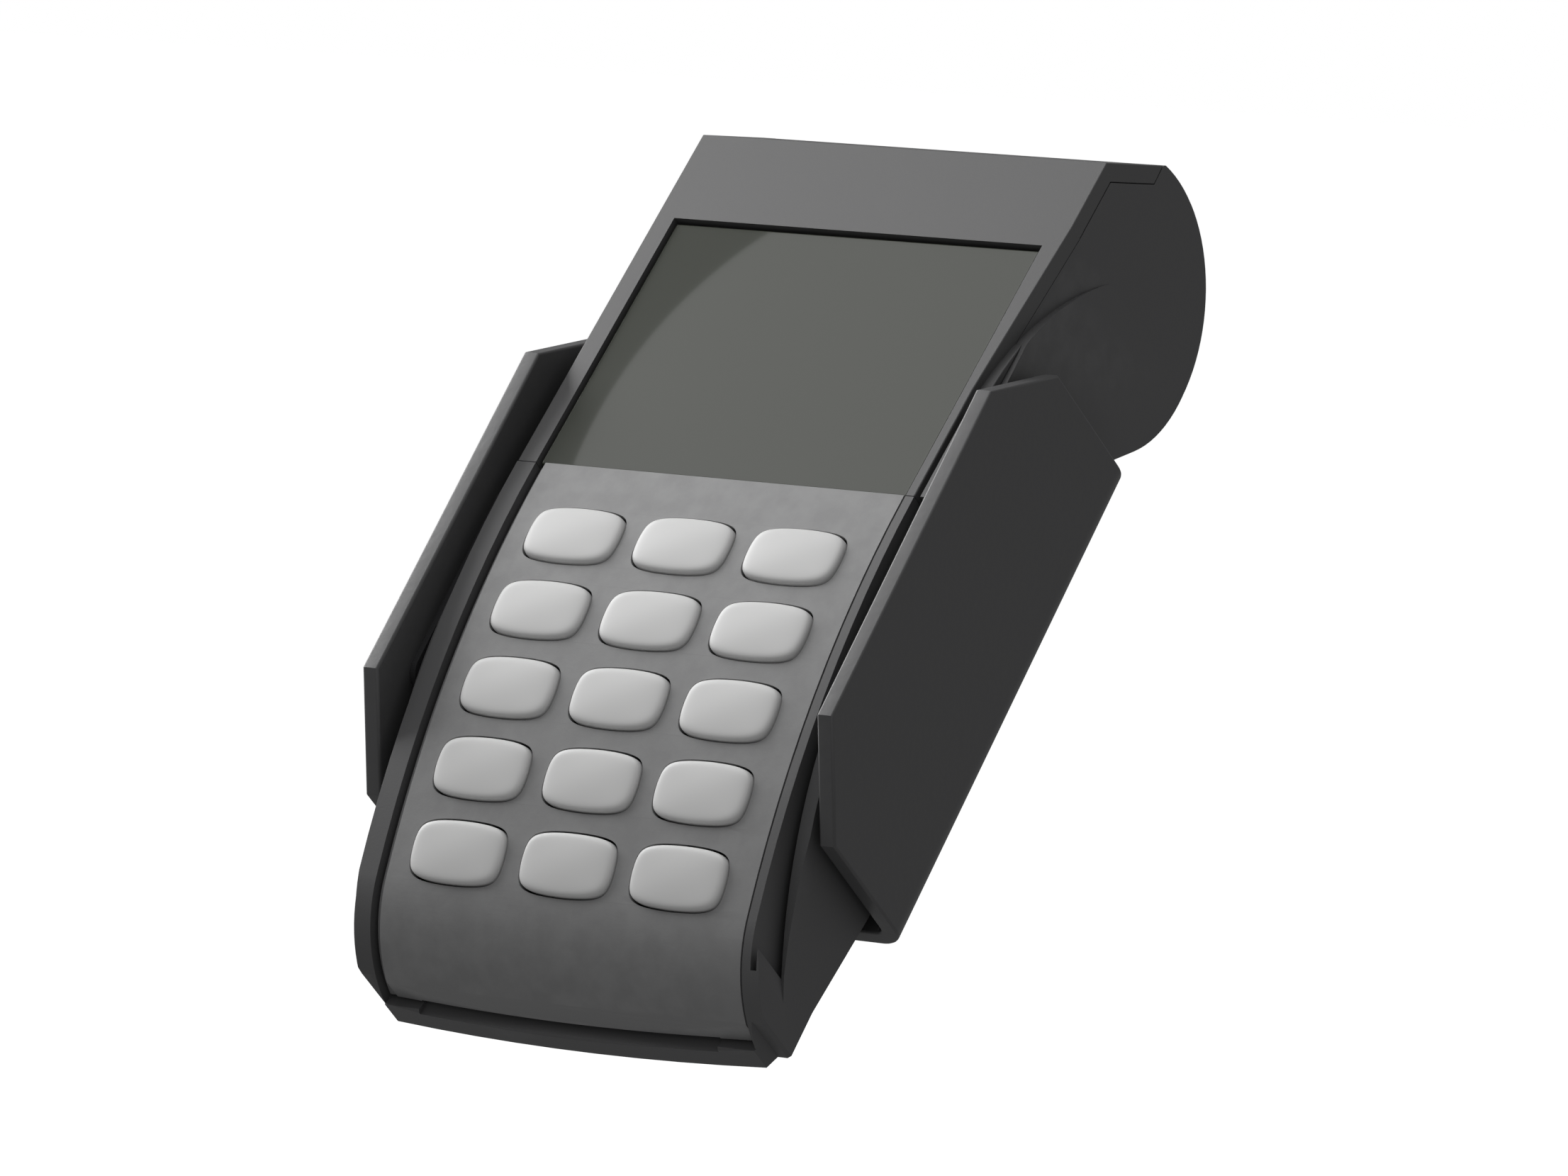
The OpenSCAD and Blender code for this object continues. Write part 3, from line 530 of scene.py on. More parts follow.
@dataclass(frozen=True)
class Lean:
    """How the upright terminal is placed in the frame of the cradle's bolt pattern."""

    angle: float = 41.0
    back: float = 6.3
    mount_z: float = 74.0531

    def matrix(self) -> Matrix:
        """Placement of a mesh that was modelled upright, in metres."""
        shift = Matrix.Translation(Vector((0.0, -self.back * MM, -self.mount_z * MM)))
        return Matrix.Rotation(-math.radians(self.angle), 4, "X") @ shift


# ---- modelling -------------------------------------------------------------------------


class Kind(Enum):
    """What is picked in edit mode."""

    VERTEX = "VERT"
    EDGE = "EDGE"
    FACE = "FACE"


@dataclass(frozen=True)
class Part:
    """One vertex, edge or face as a picking test sees it, in millimetres."""

    at: Vector
    along: Vector
    normal: Vector
    ends: tuple[Vector, ...]
    bend: float


Item = Union[bmesh.types.BMVert, bmesh.types.BMEdge, bmesh.types.BMFace]
Test = Callable[[Part], bool]


class Bench:
    """Shapes one mesh in edit mode with the modelling operators; lengths are in millimetres."""

    def __init__(self, name: str) -> None:
        """Takes the object that was just added.

        Args:
            name: The piece's name.
        """
        self.piece = bpy.context.object
        self.piece.name = name
        self.piece.data.name = name
        bpy.ops.object.select_all(action="DESELECT")
        self.piece.select_set(True)
        bpy.ops.object.transform_apply(location=True, rotation=True, scale=True)
        bpy.ops.object.mode_set(mode="EDIT")

    @classmethod
    def bar(cls, name: str, half: float, at: Point) -> "Bench":
        """Starts from an edge across the part.

        Args:
            name: The piece's name.
            half: Half the edge's length.
            at: Its depth and height.

        Returns:
            The bench with the edge on it.
        """
        bpy.ops.mesh.primitive_plane_add(size=2 * half * MM, location=(0.0, at[0] * MM, at[1] * MM))
        bench = cls(name)
        bpy.ops.transform.resize(value=(1.0, 0.0, 1.0), center_override=(0.0, at[0] * MM, at[1] * MM))
        bpy.ops.mesh.remove_doubles(threshold=0.001 * MM)
        return bench

    @classmethod
    def plate(cls, name: str, width: float, height: float) -> "Bench":
        """Starts from a flat rectangle on the origin, facing up.

        Args:
            name: The piece's name.
            width: Its width.
            height: Its height.

        Returns:
            The bench with the rectangle on it.
        """
        bpy.ops.mesh.primitive_plane_add(size=1.0)
        bpy.context.object.scale = (width * MM, height * MM, 1.0)
        return cls(name)

    @classmethod
    def block(cls, name: str, low: Sequence[float], high: Sequence[float]) -> "Bench":
        """Starts from a box between two corners.

        Args:
            name: The piece's name.
            low: Lowest corner.
            high: Highest corner.

        Returns:
            The bench with the box on it.
        """
        middle = [(a + b) / 2 * MM for a, b in zip(low, high)]
        bpy.ops.mesh.primitive_cube_add(size=1.0, location=middle)
        bpy.context.object.scale = [(b - a) * MM for a, b in zip(low, high)]
        return cls(name)

    @classmethod
    def rod(cls, name: str, at: Point, radius: float, ends: Point, sides: int = 48) -> "Bench":
        """Starts from a cylinder that lies across the part.

        Args:
            name: The piece's name.
            at: Depth and height of its axis.
            radius: Its radius.
            ends: Where it starts and ends across the part.
            sides: Number of its sides.

        Returns:
            The bench with the cylinder on it.
        """
        bpy.ops.mesh.primitive_cylinder_add(
            vertices=sides,
            radius=radius * MM,
            depth=(ends[1] - ends[0]) * MM,
            location=((ends[0] + ends[1]) / 2 * MM, at[0] * MM, at[1] * MM),
            rotation=(0.0, math.pi / 2, 0.0),
        )
        return cls(name)

    @classmethod
    def copy_of(cls, node: str, name: str) -> "Bench":
        """Starts from a merged copy of a carried-over node, still leaning.

        Args:
            node: The node's name.
            name: The piece's name.

        Returns:
            The bench with the copy on it.
        """
        source = frame["nodes"][node]
        piece = bpy.data.objects.new(name, source.data.copy())
        bpy.context.scene.collection.objects.link(piece)
        bpy.context.view_layer.objects.active = piece
        bench = cls(name)
        bpy.ops.mesh.select_all(action="SELECT")
        bpy.ops.mesh.remove_doubles(threshold=0.002 * MM)
        bpy.ops.mesh.dissolve_limited(angle_limit=math.radians(0.4))
        return bench

    def pick(self, kind: Kind, test: Test) -> int:
        """Selects by place.

        Args:
            kind: What to select.
            test: Tells whether a part is wanted.

        Returns:
            How many were selected.
        """
        bpy.ops.mesh.select_mode(type=kind.value)
        bpy.ops.mesh.select_all(action="DESELECT")
        shape = bmesh.from_edit_mesh(self.piece.data)
        groups = {Kind.VERTEX: shape.verts, Kind.EDGE: shape.edges, Kind.FACE: shape.faces}
        wanted = [item for item in groups[kind] if test(self._described(item))]
        for item in wanted:
            item.select_set(True)
        shape.select_flush_mode()
        bmesh.update_edit_mesh(self.piece.data)
        return len(wanted)

    def _described(self, item: Item) -> Part:
        """Describes a mesh item in millimetres, with its middle, direction and bend.

        Args:
            item: The vertex, edge or face.

        Returns:
            What a picking test sees of it.
        """
        if isinstance(item, bmesh.types.BMVert):
            return Part(item.co / MM, Vector(), item.normal, (item.co / MM,), 0.0)
        ends = tuple(v.co / MM for v in item.verts)
        if isinstance(item, bmesh.types.BMFace):
            return Part(item.calc_center_median() / MM, Vector(), item.normal, ends, 0.0)
        along = (ends[1] - ends[0]).normalized() if ends[0] != ends[1] else Vector()
        bend = math.degrees(item.calc_face_angle(0.0)) if item.is_manifold else 180.0
        normal = sum((f.normal for f in item.link_faces), Vector())
        return Part((ends[0] + ends[1]) / 2, along, normal, ends, bend)

    def pull(self, step: Sequence[float]) -> None:
        """Extrudes what is selected along a step.

        Args:
            step: Length of the step on each axis.
        """
        bpy.ops.mesh.extrude_region_move(
            TRANSFORM_OT_translate={"value": [s * MM for s in step], "orient_type": "GLOBAL"}
        )

    def pull_to(self, start: Point, end: Point) -> None:
        """Extrudes the selected bar from one point of the side view to another."""
        self.pull((0.0, end[0] - start[0], end[1] - start[1]))

    def sweep(self, centre: Point, degrees: float, steps: int) -> None:
        """Turns the selected bar about an axis across the part, leaving a curved wall.

        Args:
            centre: Depth and height of the axis.
            degrees: Angle, positive from the front downwards.
            steps: Number of flat steps.
        """
        bpy.ops.mesh.spin(
            steps=steps,
            angle=-math.radians(degrees),
            center=(0.0, centre[0] * MM, centre[1] * MM),
            axis=(1.0, 0.0, 0.0),
        )

    def move(self, step: Sequence[float]) -> None:
        """Moves what is selected."""
        bpy.ops.transform.translate(value=[s * MM for s in step], orient_type="GLOBAL")

    def scale(self, factors: Sequence[float]) -> None:
        """Scales what is selected about the origin."""
        bpy.ops.transform.resize(value=factors, center_override=(0.0, 0.0, 0.0))

    def bevel(self, width: float, segments: int) -> None:
        """Rounds the selected edges.

        Args:
            width: Width of the rounding.
            segments: Number of its steps.
        """
        bpy.ops.mesh.bevel(
            offset=width * MM, segments=segments, affect="EDGES", profile=0.5, clamp_overlap=True
        )

    def slice_off(self, at: Point, normal: Point) -> None:
        """Cuts away what lies beyond a plane that contains the axis across the part.

        Args:
            at: Depth and height of a point on the plane.
            normal: Depth and height of its normal, towards the part that goes.
        """
        bpy.ops.mesh.select_all(action="SELECT")
        bpy.ops.mesh.bisect(
            plane_co=(0.0, at[0] * MM, at[1] * MM),
            plane_no=(0.0, normal[0], normal[1]),
            clear_outer=True,
            use_fill=False,
        )

    def outwards(self) -> None:
        """Turns every face outwards."""
        bpy.ops.mesh.select_all(action="SELECT")
        bpy.ops.mesh.remove_doubles(threshold=0.002 * MM)
        bpy.ops.mesh.normals_make_consistent(inside=False)

    def done(self) -> bpy.types.Object:
        """Leaves edit mode.

        Returns:
            The shaped piece.
        """
        bpy.ops.object.mode_set(mode="OBJECT")
        return self.piece


class Keep(Enum):
    """What stays of a piece that is cut with another."""

    OUTSIDE = "DIFFERENCE"
    INSIDE = "INTERSECT"


class Finisher:
    """Applies modifiers to a piece and sets it in place."""

    def __init__(self, piece: bpy.types.Object) -> None:
        """Takes the piece in hand."""
        self.piece = piece

    def _modifier(self, kind: str, **settings: object) -> "Finisher":
        """Adds one modifier and applies it.

        Args:
            kind: The modifier's type.
            settings: Its settings by name.

        Returns:
            This finisher.
        """
        bpy.ops.object.select_all(action="DESELECT")
        bpy.context.view_layer.objects.active = self.piece
        self.piece.select_set(True)
        added = self.piece.modifiers.new(kind.lower(), kind)
        for key, value in settings.items():
            setattr(added, key, value)
        bpy.ops.object.modifier_apply(modifier=added.name)
        return self

    def thicken(self, thickness: float) -> "Finisher":
        """Gives a sheet its thickness, in millimetres, against its normals."""
        return self._modifier("SOLIDIFY", thickness=thickness * MM, offset=-1.0, use_even_offset=True)

    def smooth_cage(self, levels: int) -> "Finisher":
        """Rounds a cage by subdivision."""
        return self._modifier("SUBSURF", levels=levels, render_levels=levels)

    def cut(self, cutter: bpy.types.Object, keep: Keep = Keep.OUTSIDE) -> "Finisher":
        """Cuts the piece with another, which is used up.

        Args:
            cutter: The other piece.
            keep: Whether what lies outside it or inside it stays.

        Returns:
            This finisher.
        """
        self._modifier("BOOLEAN", operation=keep.value, solver="EXACT", object=cutter)
        bpy.data.objects.remove(cutter, do_unlink=True)
        return self

    def ease(self, width: float, angle: float = 32.0, segments: int = 2) -> "Finisher":
        """Rounds every edge sharper than an angle.

        Args:
            width: Width of the rounding.
            angle: The angle in degrees.
            segments: Number of steps in the rounding.

        Returns:
            This finisher.
        """
        return self._modifier(
            "BEVEL",
            width=width * MM,
            segments=segments,
            limit_method="ANGLE",
            angle_limit=math.radians(angle),
            use_clamp_overlap=True,
            harden_normals=False,
            miter_outer="MITER_ARC",
        )

    def place(self, matrix: Matrix) -> "Finisher":
        """Moves the mesh itself, leaving the object on the origin.

        Args:
            matrix: Where the mesh goes, in metres.

        Returns:
            This finisher.
        """
        self.piece.matrix_world = matrix
        bpy.ops.object.select_all(action="DESELECT")
        self.piece.select_set(True)
        bpy.context.view_layer.objects.active = self.piece
        bpy.ops.object.transform_apply(location=True, rotation=True, scale=True)
        return self

    def shade(self, angle: float = 35.0) -> "Finisher":
        """Shades smoothly across edges below an angle.

        Args:
            angle: The angle in degrees.

        Returns:
            This finisher.
        """
        bpy.ops.object.select_all(action="DESELECT")
        bpy.context.view_layer.objects.active = self.piece
        self.piece.select_set(True)
        bpy.ops.object.shade_smooth_by_angle(angle=math.radians(angle))
        return self._modifier("WEIGHTED_NORMAL", mode="FACE_AREA", weight=80, keep_sharp=True)


def joined(name: str, pieces: Sequence[bpy.types.Object]) -> bpy.types.Object:
    """Joins pieces into one.

    Args:
        name: The joined piece's name.
        pieces: The pieces, the first of which receives the others.

    Returns:
        The joined piece.
    """
    bpy.ops.object.select_all(action="DESELECT")
    for piece in pieces:
        piece.select_set(True)
    bpy.context.view_layer.objects.active = pieces[0]
    bpy.ops.object.join()
    pieces[0].name = name
    return pieces[0]


@dataclass(frozen=True)
class Home:
    """Where a finished piece belongs: its body, its finish and the nodes it stands for."""

    body: str
    slot: Slot
    nodes: tuple[str, ...]

    def settle(self, piece: bpy.types.Object, paints: Paintbox) -> None:
        """Dresses a piece and hangs it on its body.

        Args:
            piece: The finished piece.
            paints: The finishes.
        """
        paints.dress(piece, self.slot)
        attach(piece, self.body)
        if self.nodes:
            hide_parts(*self.nodes)
        log.info("%s rides on %s, %d faces", piece.name, self.body, len(piece.data.polygons))


# ---- the casing's side view ------------------------------------------------------------


@dataclass(frozen=True)
class SideView:
    """The long curve of the front, as depth and height in millimetres."""

    face_top: Point = (-26.6, 156.2)
    tilt: float = 3.3
    plate_top_z: float = 87.6
    face_r: float = 180.0
    face_len: float = 73.7
    nose_r: float = 21.5
    nose_end: float = 75.5
    bulge: Point = (-8.2, 142.8)
    bulge_r: float = 24.0

    def inward(self, degrees: float) -> Vector:
        """Direction into the casing where the face slopes by an angle."""
        return Vector((math.cos(math.radians(degrees)), math.sin(math.radians(degrees))))

    def down(self, degrees: float) -> Vector:
        """Direction down the face where it slopes by an angle."""
        return Vector((math.sin(math.radians(degrees)), -math.cos(math.radians(degrees))))

    def plate_top(self) -> Vector:
        """Top of the keypad plate."""
        return self.line(self.plate_top_z)

    def line(self, height: float, sunk: float = 0.0) -> Vector:
        """Point of the display face at a height, sunk by a depth."""
        reach = (self.face_top[1] - height) / math.cos(math.radians(self.tilt))
        return Vector(self.face_top) + self.down(-self.tilt) * reach + self.inward(-self.tilt) * sunk

    def face_centre(self) -> Vector:
        """Centre of the long curve."""
        return self.plate_top() + self.inward(-self.tilt) * self.face_r

    def nose_start(self) -> float:
        """Slope where the nose begins."""
        return math.degrees(self.face_len / self.face_r) - self.tilt

    def nose_centre(self) -> Vector:
        """Centre of the nose."""
        return self.face_centre() + self.inward(self.nose_start()) * (self.nose_r - self.face_r)

    def curve(self, degrees: float, sunk: float = 0.0) -> Vector:
        """Finds a point of the keypad's curve.

        Args:
            degrees: Slope of the curve there.
            sunk: How far the point lies below the face.

        Returns:
            Its depth and height.
        """
        if degrees <= self.nose_start():
            return self.face_centre() - self.inward(degrees) * (self.face_r - sunk)
        return self.nose_centre() - self.inward(degrees) * (self.nose_r - sunk)

    def bulge_at(self, degrees: float, radius: float) -> Vector:
        """Point about the printer bulge's centre."""
        turned = Vector((math.cos(math.radians(degrees)), math.sin(math.radians(degrees))))
        return Vector(self.bulge) + turned * radius


# ---- sub-assemblies --------------------------------------------------------------------


@dataclass
class Keypad:
    """Fifteen domed keys in the curved plate."""

    side: SideView
    lean: Lean
    key: tuple[float, float] = (17.4, 10.2)
    proud: float = 1.2
    sunk: float = 3.0
    corner_in: tuple[float, float] = (0.75, 0.65)
    dome: float = 0.45
    pitch: tuple[float, float] = (21.0, 13.8)
    first_row: float = 13.5
    gap: float = 0.28
    plate_half: float = 35.1
    plate_t: float = 2.0
    rows: int = 5
    columns: int = 3
    bow_r: float = 460.0
    mouth_half: float = 28.5
    mouth: Point = (-5.05, -2.5)
    groove: Point = (1.6, 1.6)
    spare: float = 0.5
    face_steps: int = 48
    nose_steps: int = 24

    def outline(self, name: str, width: float, height: float) -> Bench:
        """Starts a cage whose subdivided outline is a rounded oblong with bowed sides.

        Args:
            name: The piece's name.
            width: Width of the cage.
            height: Height of the cage.

        Returns:
            The bench with the flat cage on it.
        """
        bench = Bench.plate(name, width, height)
        bpy.ops.mesh.select_all(action="SELECT")
        bpy.ops.mesh.subdivide(number_cuts=2)
        for right in (-1, 1):
            for up in (-1, 1):
                far = (right * width / 2, up * height / 2)
                bench.pick(
                    Kind.VERTEX,
                    lambda p: abs(p.at.x - far[0]) < 0.1 and abs(p.at.y - far[1]) < 0.1,
                )
                bench.move((-right * self.corner_in[0], -up * self.corner_in[1], 0.0))
        return bench

    def model_key(self) -> bpy.types.Object:
        """Models one key about its own middle, its top towards +Z.

        Returns:
            The key.
        """
        width, height = self.key
        bench = self.outline("key_blank", width, height)
        bpy.ops.mesh.select_all(action="SELECT")
        bench.move((0.0, 0.0, -self.sunk))
        bench.pull((0.0, 0.0, self.sunk + 0.2))
        bench.pull((0.0, 0.0, self.proud - self.dome))
        bench.scale((0.97, 0.955, 1.0))
        bench.pull((0.0, 0.0, self.dome * 0.55))
        bench.scale((0.84, 0.8, 1.0))
        bench.pick(
            Kind.VERTEX,
            lambda p: p.at.z > self.proud - 0.4 and abs(p.at.x) < width / 4 and abs(p.at.y) < height / 4,
        )
        bench.move((0.0, 0.0, self.dome * 0.6))
        bench.outwards()
        key = Finisher(bench.done()).smooth_cage(3).piece
        self.fit(key, (width, height), (-self.sunk, self.proud))
        return key

    def fit(self, key: bpy.types.Object, size: tuple[float, float], rise: Point) -> None:
        """Stretches a piece to its exact width, height and rise.

        Args:
            key: The piece.
            size: Its width and height.
            rise: Its lowest and highest point.
        """
        corners = [Vector(c) / MM for c in key.bound_box]
        low = [min(c[i] for c in corners) for i in range(3)]
        high = [max(c[i] for c in corners) for i in range(3)]
        factors = (
            size[0] / (high[0] - low[0]),
            size[1] / (high[1] - low[1]),
            (rise[1] - rise[0]) / (high[2] - low[2]),
        )
        lift = rise[0] - low[2] * factors[2]
        stretch = Matrix.Diagonal((*factors, 1.0))
        Finisher(key).place(Matrix.Translation((0.0, 0.0, lift * MM)) @ stretch)

    def frame_of(self, row: int, column: int) -> Matrix:
        """Finds where a key stands on the curve, its top square to it.

        Args:
            row: Its row, 0 at the top.
            column: Its column, 0 at the left.

        Returns:
            Its placement in the upright frame, in metres.
        """
        slope = math.degrees((self.first_row + row * self.pitch[1]) / self.side.face_r) - self.side.tilt
        at = self.side.curve(slope)
        across = (column - (self.columns - 1) / 2) * self.pitch[0]
        turn = Matrix.Rotation(math.radians(90.0 + slope), 4, "X")
        return Matrix.Translation((across * MM, at[0] * MM, at[1] * MM)) @ turn

    def cutters(self) -> bpy.types.Object:
        """Models the tool that cuts the fifteen openings.

        Returns:
            The tool.
        """
        width, height = self.key
        bench = self.outline("opening_tool", width + 2 * self.gap, height + 2 * self.gap)
        bpy.ops.mesh.select_all(action="SELECT")
        bench.move((0.0, 0.0, -self.plate_t * 2))
        bench.pull((0.0, 0.0, self.plate_t * 4))
        bench.outwards()
        bench.pick(Kind.EDGE, lambda p: p.bend > 60 and abs(p.along.z) < 0.1)
        bpy.ops.transform.edge_crease(value=1.0)
        first = Finisher(bench.done()).smooth_cage(3).piece
        reach = 2 * self.plate_t
        self.fit(first, (width + 2 * self.gap, height + 2 * self.gap), (-reach, reach))
        tools = []
        for row in range(self.rows):
            for column in range(self.columns):
                tool = first.copy()
                tool.data = first.data.copy()
                bpy.context.scene.collection.objects.link(tool)
                tools.append(Finisher(tool).place(self.frame_of(row, column)).piece)
        bpy.data.objects.remove(first, do_unlink=True)
        return joined("opening_tools", tools)

    def model_plate(self) -> bpy.types.Object:
        """Models the curved plate with its mouth, groove and bowed end.

        Returns:
            The plate, still without its key openings.
        """
        top = self.side.plate_top()
        bench = Bench.bar("keypad_face", self.plate_half, top)
        bpy.ops.mesh.select_all(action="SELECT")
        start = self.side.nose_start()
        bench.sweep(self.side.face_centre(), start + self.side.tilt, self.face_steps)
        bench.sweep(self.side.nose_centre(), self.side.nose_end - start, self.nose_steps)
        bench.outwards()
        plate = Finisher(bench.done()).thicken(self.plate_t)
        low, high = self.mouth
        mouth = Bench.block("mouth_tool", (-self.mouth_half, low, -5.0), (self.mouth_half, high, 8.0))
        plate.cut(mouth.done()).cut(self.groove_tool())
        return plate.cut(self.bow_tool(), Keep.INSIDE).piece

    def groove_tool(self) -> bpy.types.Object:
        """Models the tool that sinks the groove between the plate and the left rim.

        Returns:
            The tool.
        """
        width, depth = self.groove
        early, late = -self.side.tilt - 1.0, self.side.nose_end + 3.0
        start = self.side.nose_start()
        top = self.side.curve(early, -self.spare)
        bench = Bench.bar("groove_tool", (width + self.spare) / 2, top)
        bpy.ops.mesh.select_all(action="SELECT")
        bench.move(((width - self.spare) / 2 - self.plate_half, 0.0, 0.0))
        bench.sweep(self.side.face_centre(), start - early, self.face_steps)
        bench.sweep(self.side.nose_centre(), late - start, self.nose_steps)
        bench.outwards()
        return Finisher(bench.done()).thicken(self.spare + depth).piece

    def bow_tool(self) -> bpy.types.Object:
        """Models the wide cylinder whose underside bows the plate's lower end.

        Returns:
            The cylinder.
        """
        end = self.side.curve(self.side.nose_end)[1]
        bpy.ops.mesh.primitive_cylinder_add(
            vertices=512,
            radius=self.bow_r * MM,
            depth=4 * self.bow_r * MM,
            location=(0.0, 0.0, (end + self.bow_r) * MM),
            rotation=(math.pi / 2, 0.0, 0.0),
        )
        return Bench("bow_tool").done()

    def build(self, paints: Paintbox) -> None:
        """Builds the keys and the plate.

        Args:
            paints: The finishes.
        """
        placed = self.lean.matrix()
        blank = self.model_key()
        for row in range(self.rows):
            for column in range(self.columns):
                number = row * self.columns + column + 1
                key = blank.copy()
                key.data = blank.data.copy()
                key.name = f"key_cap_{number}"
                bpy.context.scene.collection.objects.link(key)
                Finisher(key).place(placed @ self.frame_of(row, column)).shade(60.0)
                Home(f"key_{number}", Slot.KEY, (f"key_{number}",)).settle(key, paints)
        bpy.data.objects.remove(blank, do_unlink=True)
        plate = Finisher(self.model_plate()).cut(self.cutters()).ease(0.35, 40.0, 2)
        plate.place(placed).shade(30.0)
        Home("terminal", Slot.KEYPAD, ("keypad_plate",)).settle(plate.piece, paints)


@dataclass
class Window:
    """The display's window, sunk a little below the bezel."""

    side: SideView
    lean: Lean
    half: float = 34.95
    top: float = 138.1
    bottom: float = 87.8
    drop: float = 0.6
    thickness: float = 1.5

    def build(self, paints: Paintbox) -> None:
        """Builds the window.

        Args:
            paints: The finishes.
        """
        low, high = self.side.line(self.bottom, self.drop), self.side.line(self.top, self.drop)
        bench = Bench.bar("window_pane", self.half, low)
        bpy.ops.mesh.select_all(action="SELECT")
        bench.pull_to(low, high)
        bench.outwards()
        pane = Finisher(bench.done()).thicken(self.thickness).ease(0.35, 40.0, 3)
        pane.place(self.lean.matrix()).shade(30.0)
        Home("terminal", Slot.WINDOW, ("display_window",)).settle(pane.piece, paints)


@dataclass
class Cradle:
    """The bent sheet that grips the casing, with its four mounting holes."""

    lean: Lean
    half: float = 44.8
    sheet: float = 3.0
    bend: float = 4.5
    back: float = 6.3
    front: float = -34.4
    low: float = 29.4
    high: float = 118.706
    hole_r: float = 2.25
    square: float = 50.0
    edge: float = 0.45
    bend_steps: int = 12
    corners: tuple[Point, ...] = (
        (-34.4, 43.7), (-26.4, 31.0), (-24.4, 29.4),
        (-21.4, 118.706), (-26.4, 116.1), (-31.4, 110.2), (-34.4, 104.7),
    )

    def model(self) -> bpy.types.Object:
        """Models the bent sheet.

        Returns:
            The sheet, without its thickness and holes.
        """
        middle = (self.low + self.high) / 2
        bpy.ops.mesh.primitive_plane_add(
            size=(self.high - self.low) * MM, location=(self.half * MM, self.front * MM, middle * MM)
        )
        bench = Bench("bent_cradle")
        bpy.ops.transform.rotate(
            value=math.pi / 2,
            orient_axis="Y",
            center_override=(self.half * MM, self.front * MM, middle * MM),
        )
        bpy.ops.transform.resize(
            value=(1.0, 0.0, 1.0), center_override=(self.half * MM, self.front * MM, middle * MM)
        )
        bpy.ops.mesh.remove_doubles(threshold=0.001 * MM)
        bpy.ops.mesh.select_all(action="SELECT")
        straight = self.back - self.bend
        bench.pull((0.0, straight - self.front, 0.0))
        self.turn(self.half - self.bend, straight)
        bench.pull((-2 * (self.half - self.bend), 0.0, 0.0))
        self.turn(-(self.half - self.bend), straight)
        bench.pull((0.0, self.front - straight, 0.0))
        for first, second in zip(self.corners[:3], self.corners[1:3]):
            bench.slice_off(first, self.square_to(first, second, -1))
        for first, second in zip(self.corners[3:], self.corners[4:]):
            bench.slice_off(first, self.square_to(first, second, 1))
        bench.outwards()
        return bench.done()

    def square_to(self, first: Point, second: Point, side: int) -> Point:
        """Normal of the cut through two corners.

        Args:
            first: One corner.
            second: The next corner.
            side: 1 for a cut whose waste is above, -1 for one whose waste is below.

        Returns:
            Depth and height of the normal.
        """
        run, rise = second[0] - first[0], second[1] - first[1]
        normal = (-rise, run)
        turned = 1 if normal[1] * side > 0 else -1
        return (normal[0] * turned, normal[1] * turned)

    def turn(self, across: float, depth: float) -> None:
        """Bends the sheet a quarter turn about an upright axis.

        Args:
            across: Where the axis stands across the part.
            depth: Its depth.
        """
        bpy.ops.mesh.spin(
            steps=self.bend_steps,
            angle=math.pi / 2,
            center=(across * MM, depth * MM, 0.0),
            axis=(0.0, 0.0, -1.0),
        )

    def drills(self) -> bpy.types.Object:
        """Models the tool that drills the mounting holes.

        Returns:
            The tool.
        """
        tools = []
        for x in (-1, 1):
            for z in (-1, 1):
                bpy.ops.mesh.primitive_cylinder_add(
                    vertices=40,
                    radius=self.hole_r * MM,
                    depth=4 * self.sheet * MM,
                    location=(
                        x * self.square / 2 * MM,
                        self.back * MM,
                        ((self.low + self.high) / 2 + z * self.square / 2) * MM,
                    ),
                    rotation=(math.pi / 2, 0.0, 0.0),
                )
                tools.append(Bench("drill").done())
        return joined("drills", tools)

    def build(self, paints: Paintbox) -> None:
        """Builds the cradle.

        Args:
            paints: The finishes.
        """
        sheet = Finisher(self.model()).thicken(self.sheet).cut(self.drills()).ease(self.edge, 50.0, 3)
        sheet.place(self.lean.matrix()).shade(40.0)
        Home("cradle", Slot.CRADLE, ("cradle",)).settle(sheet.piece, paints)


@dataclass
class PrinterLid:
    """The curved lid over the paper roll, with its hinge barrel."""

    side: SideView
    lean: Lean
    half: float = 36.2
    thickness: float = 2.2
    hinge: float = -26.8
    last: float = 99.0
    barrel_r: float = 1.8
    pin_r: float = 0.94
    shell_steps: int = 72

    def build(self, paints: Paintbox) -> None:
        """Builds the lid.

        Args:
            paints: The finishes.
        """
        first = self.side.bulge_at(self.last, self.side.bulge_r)
        bench = Bench.bar("lid_shell", self.half, first)
        bpy.ops.mesh.select_all(action="SELECT")
        bench.sweep(self.side.bulge, self.hinge - self.last, self.shell_steps)
        bench.outwards()
        shell = Finisher(bench.done()).thicken(self.thickness).ease(0.3, 50.0, 2).piece
        at = self.side.bulge_at(self.hinge, self.side.bulge_r - self.barrel_r)
        barrel = Bench.rod("lid_barrel", at, self.barrel_r, (-self.half, self.half)).done()
        bore = Bench.rod("bore_tool", at, self.pin_r, (-2 * self.half, 2 * self.half), 32).done()
        barrel = Finisher(barrel).cut(bore).ease(0.2, 50.0, 2).piece
        lid = Finisher(joined("printer_lid_shell", [shell, barrel]))
        lid.place(self.lean.matrix()).shade(35.0)
        Home("lid", Slot.CASE, ("printer_lid",)).settle(lid.piece, paints)


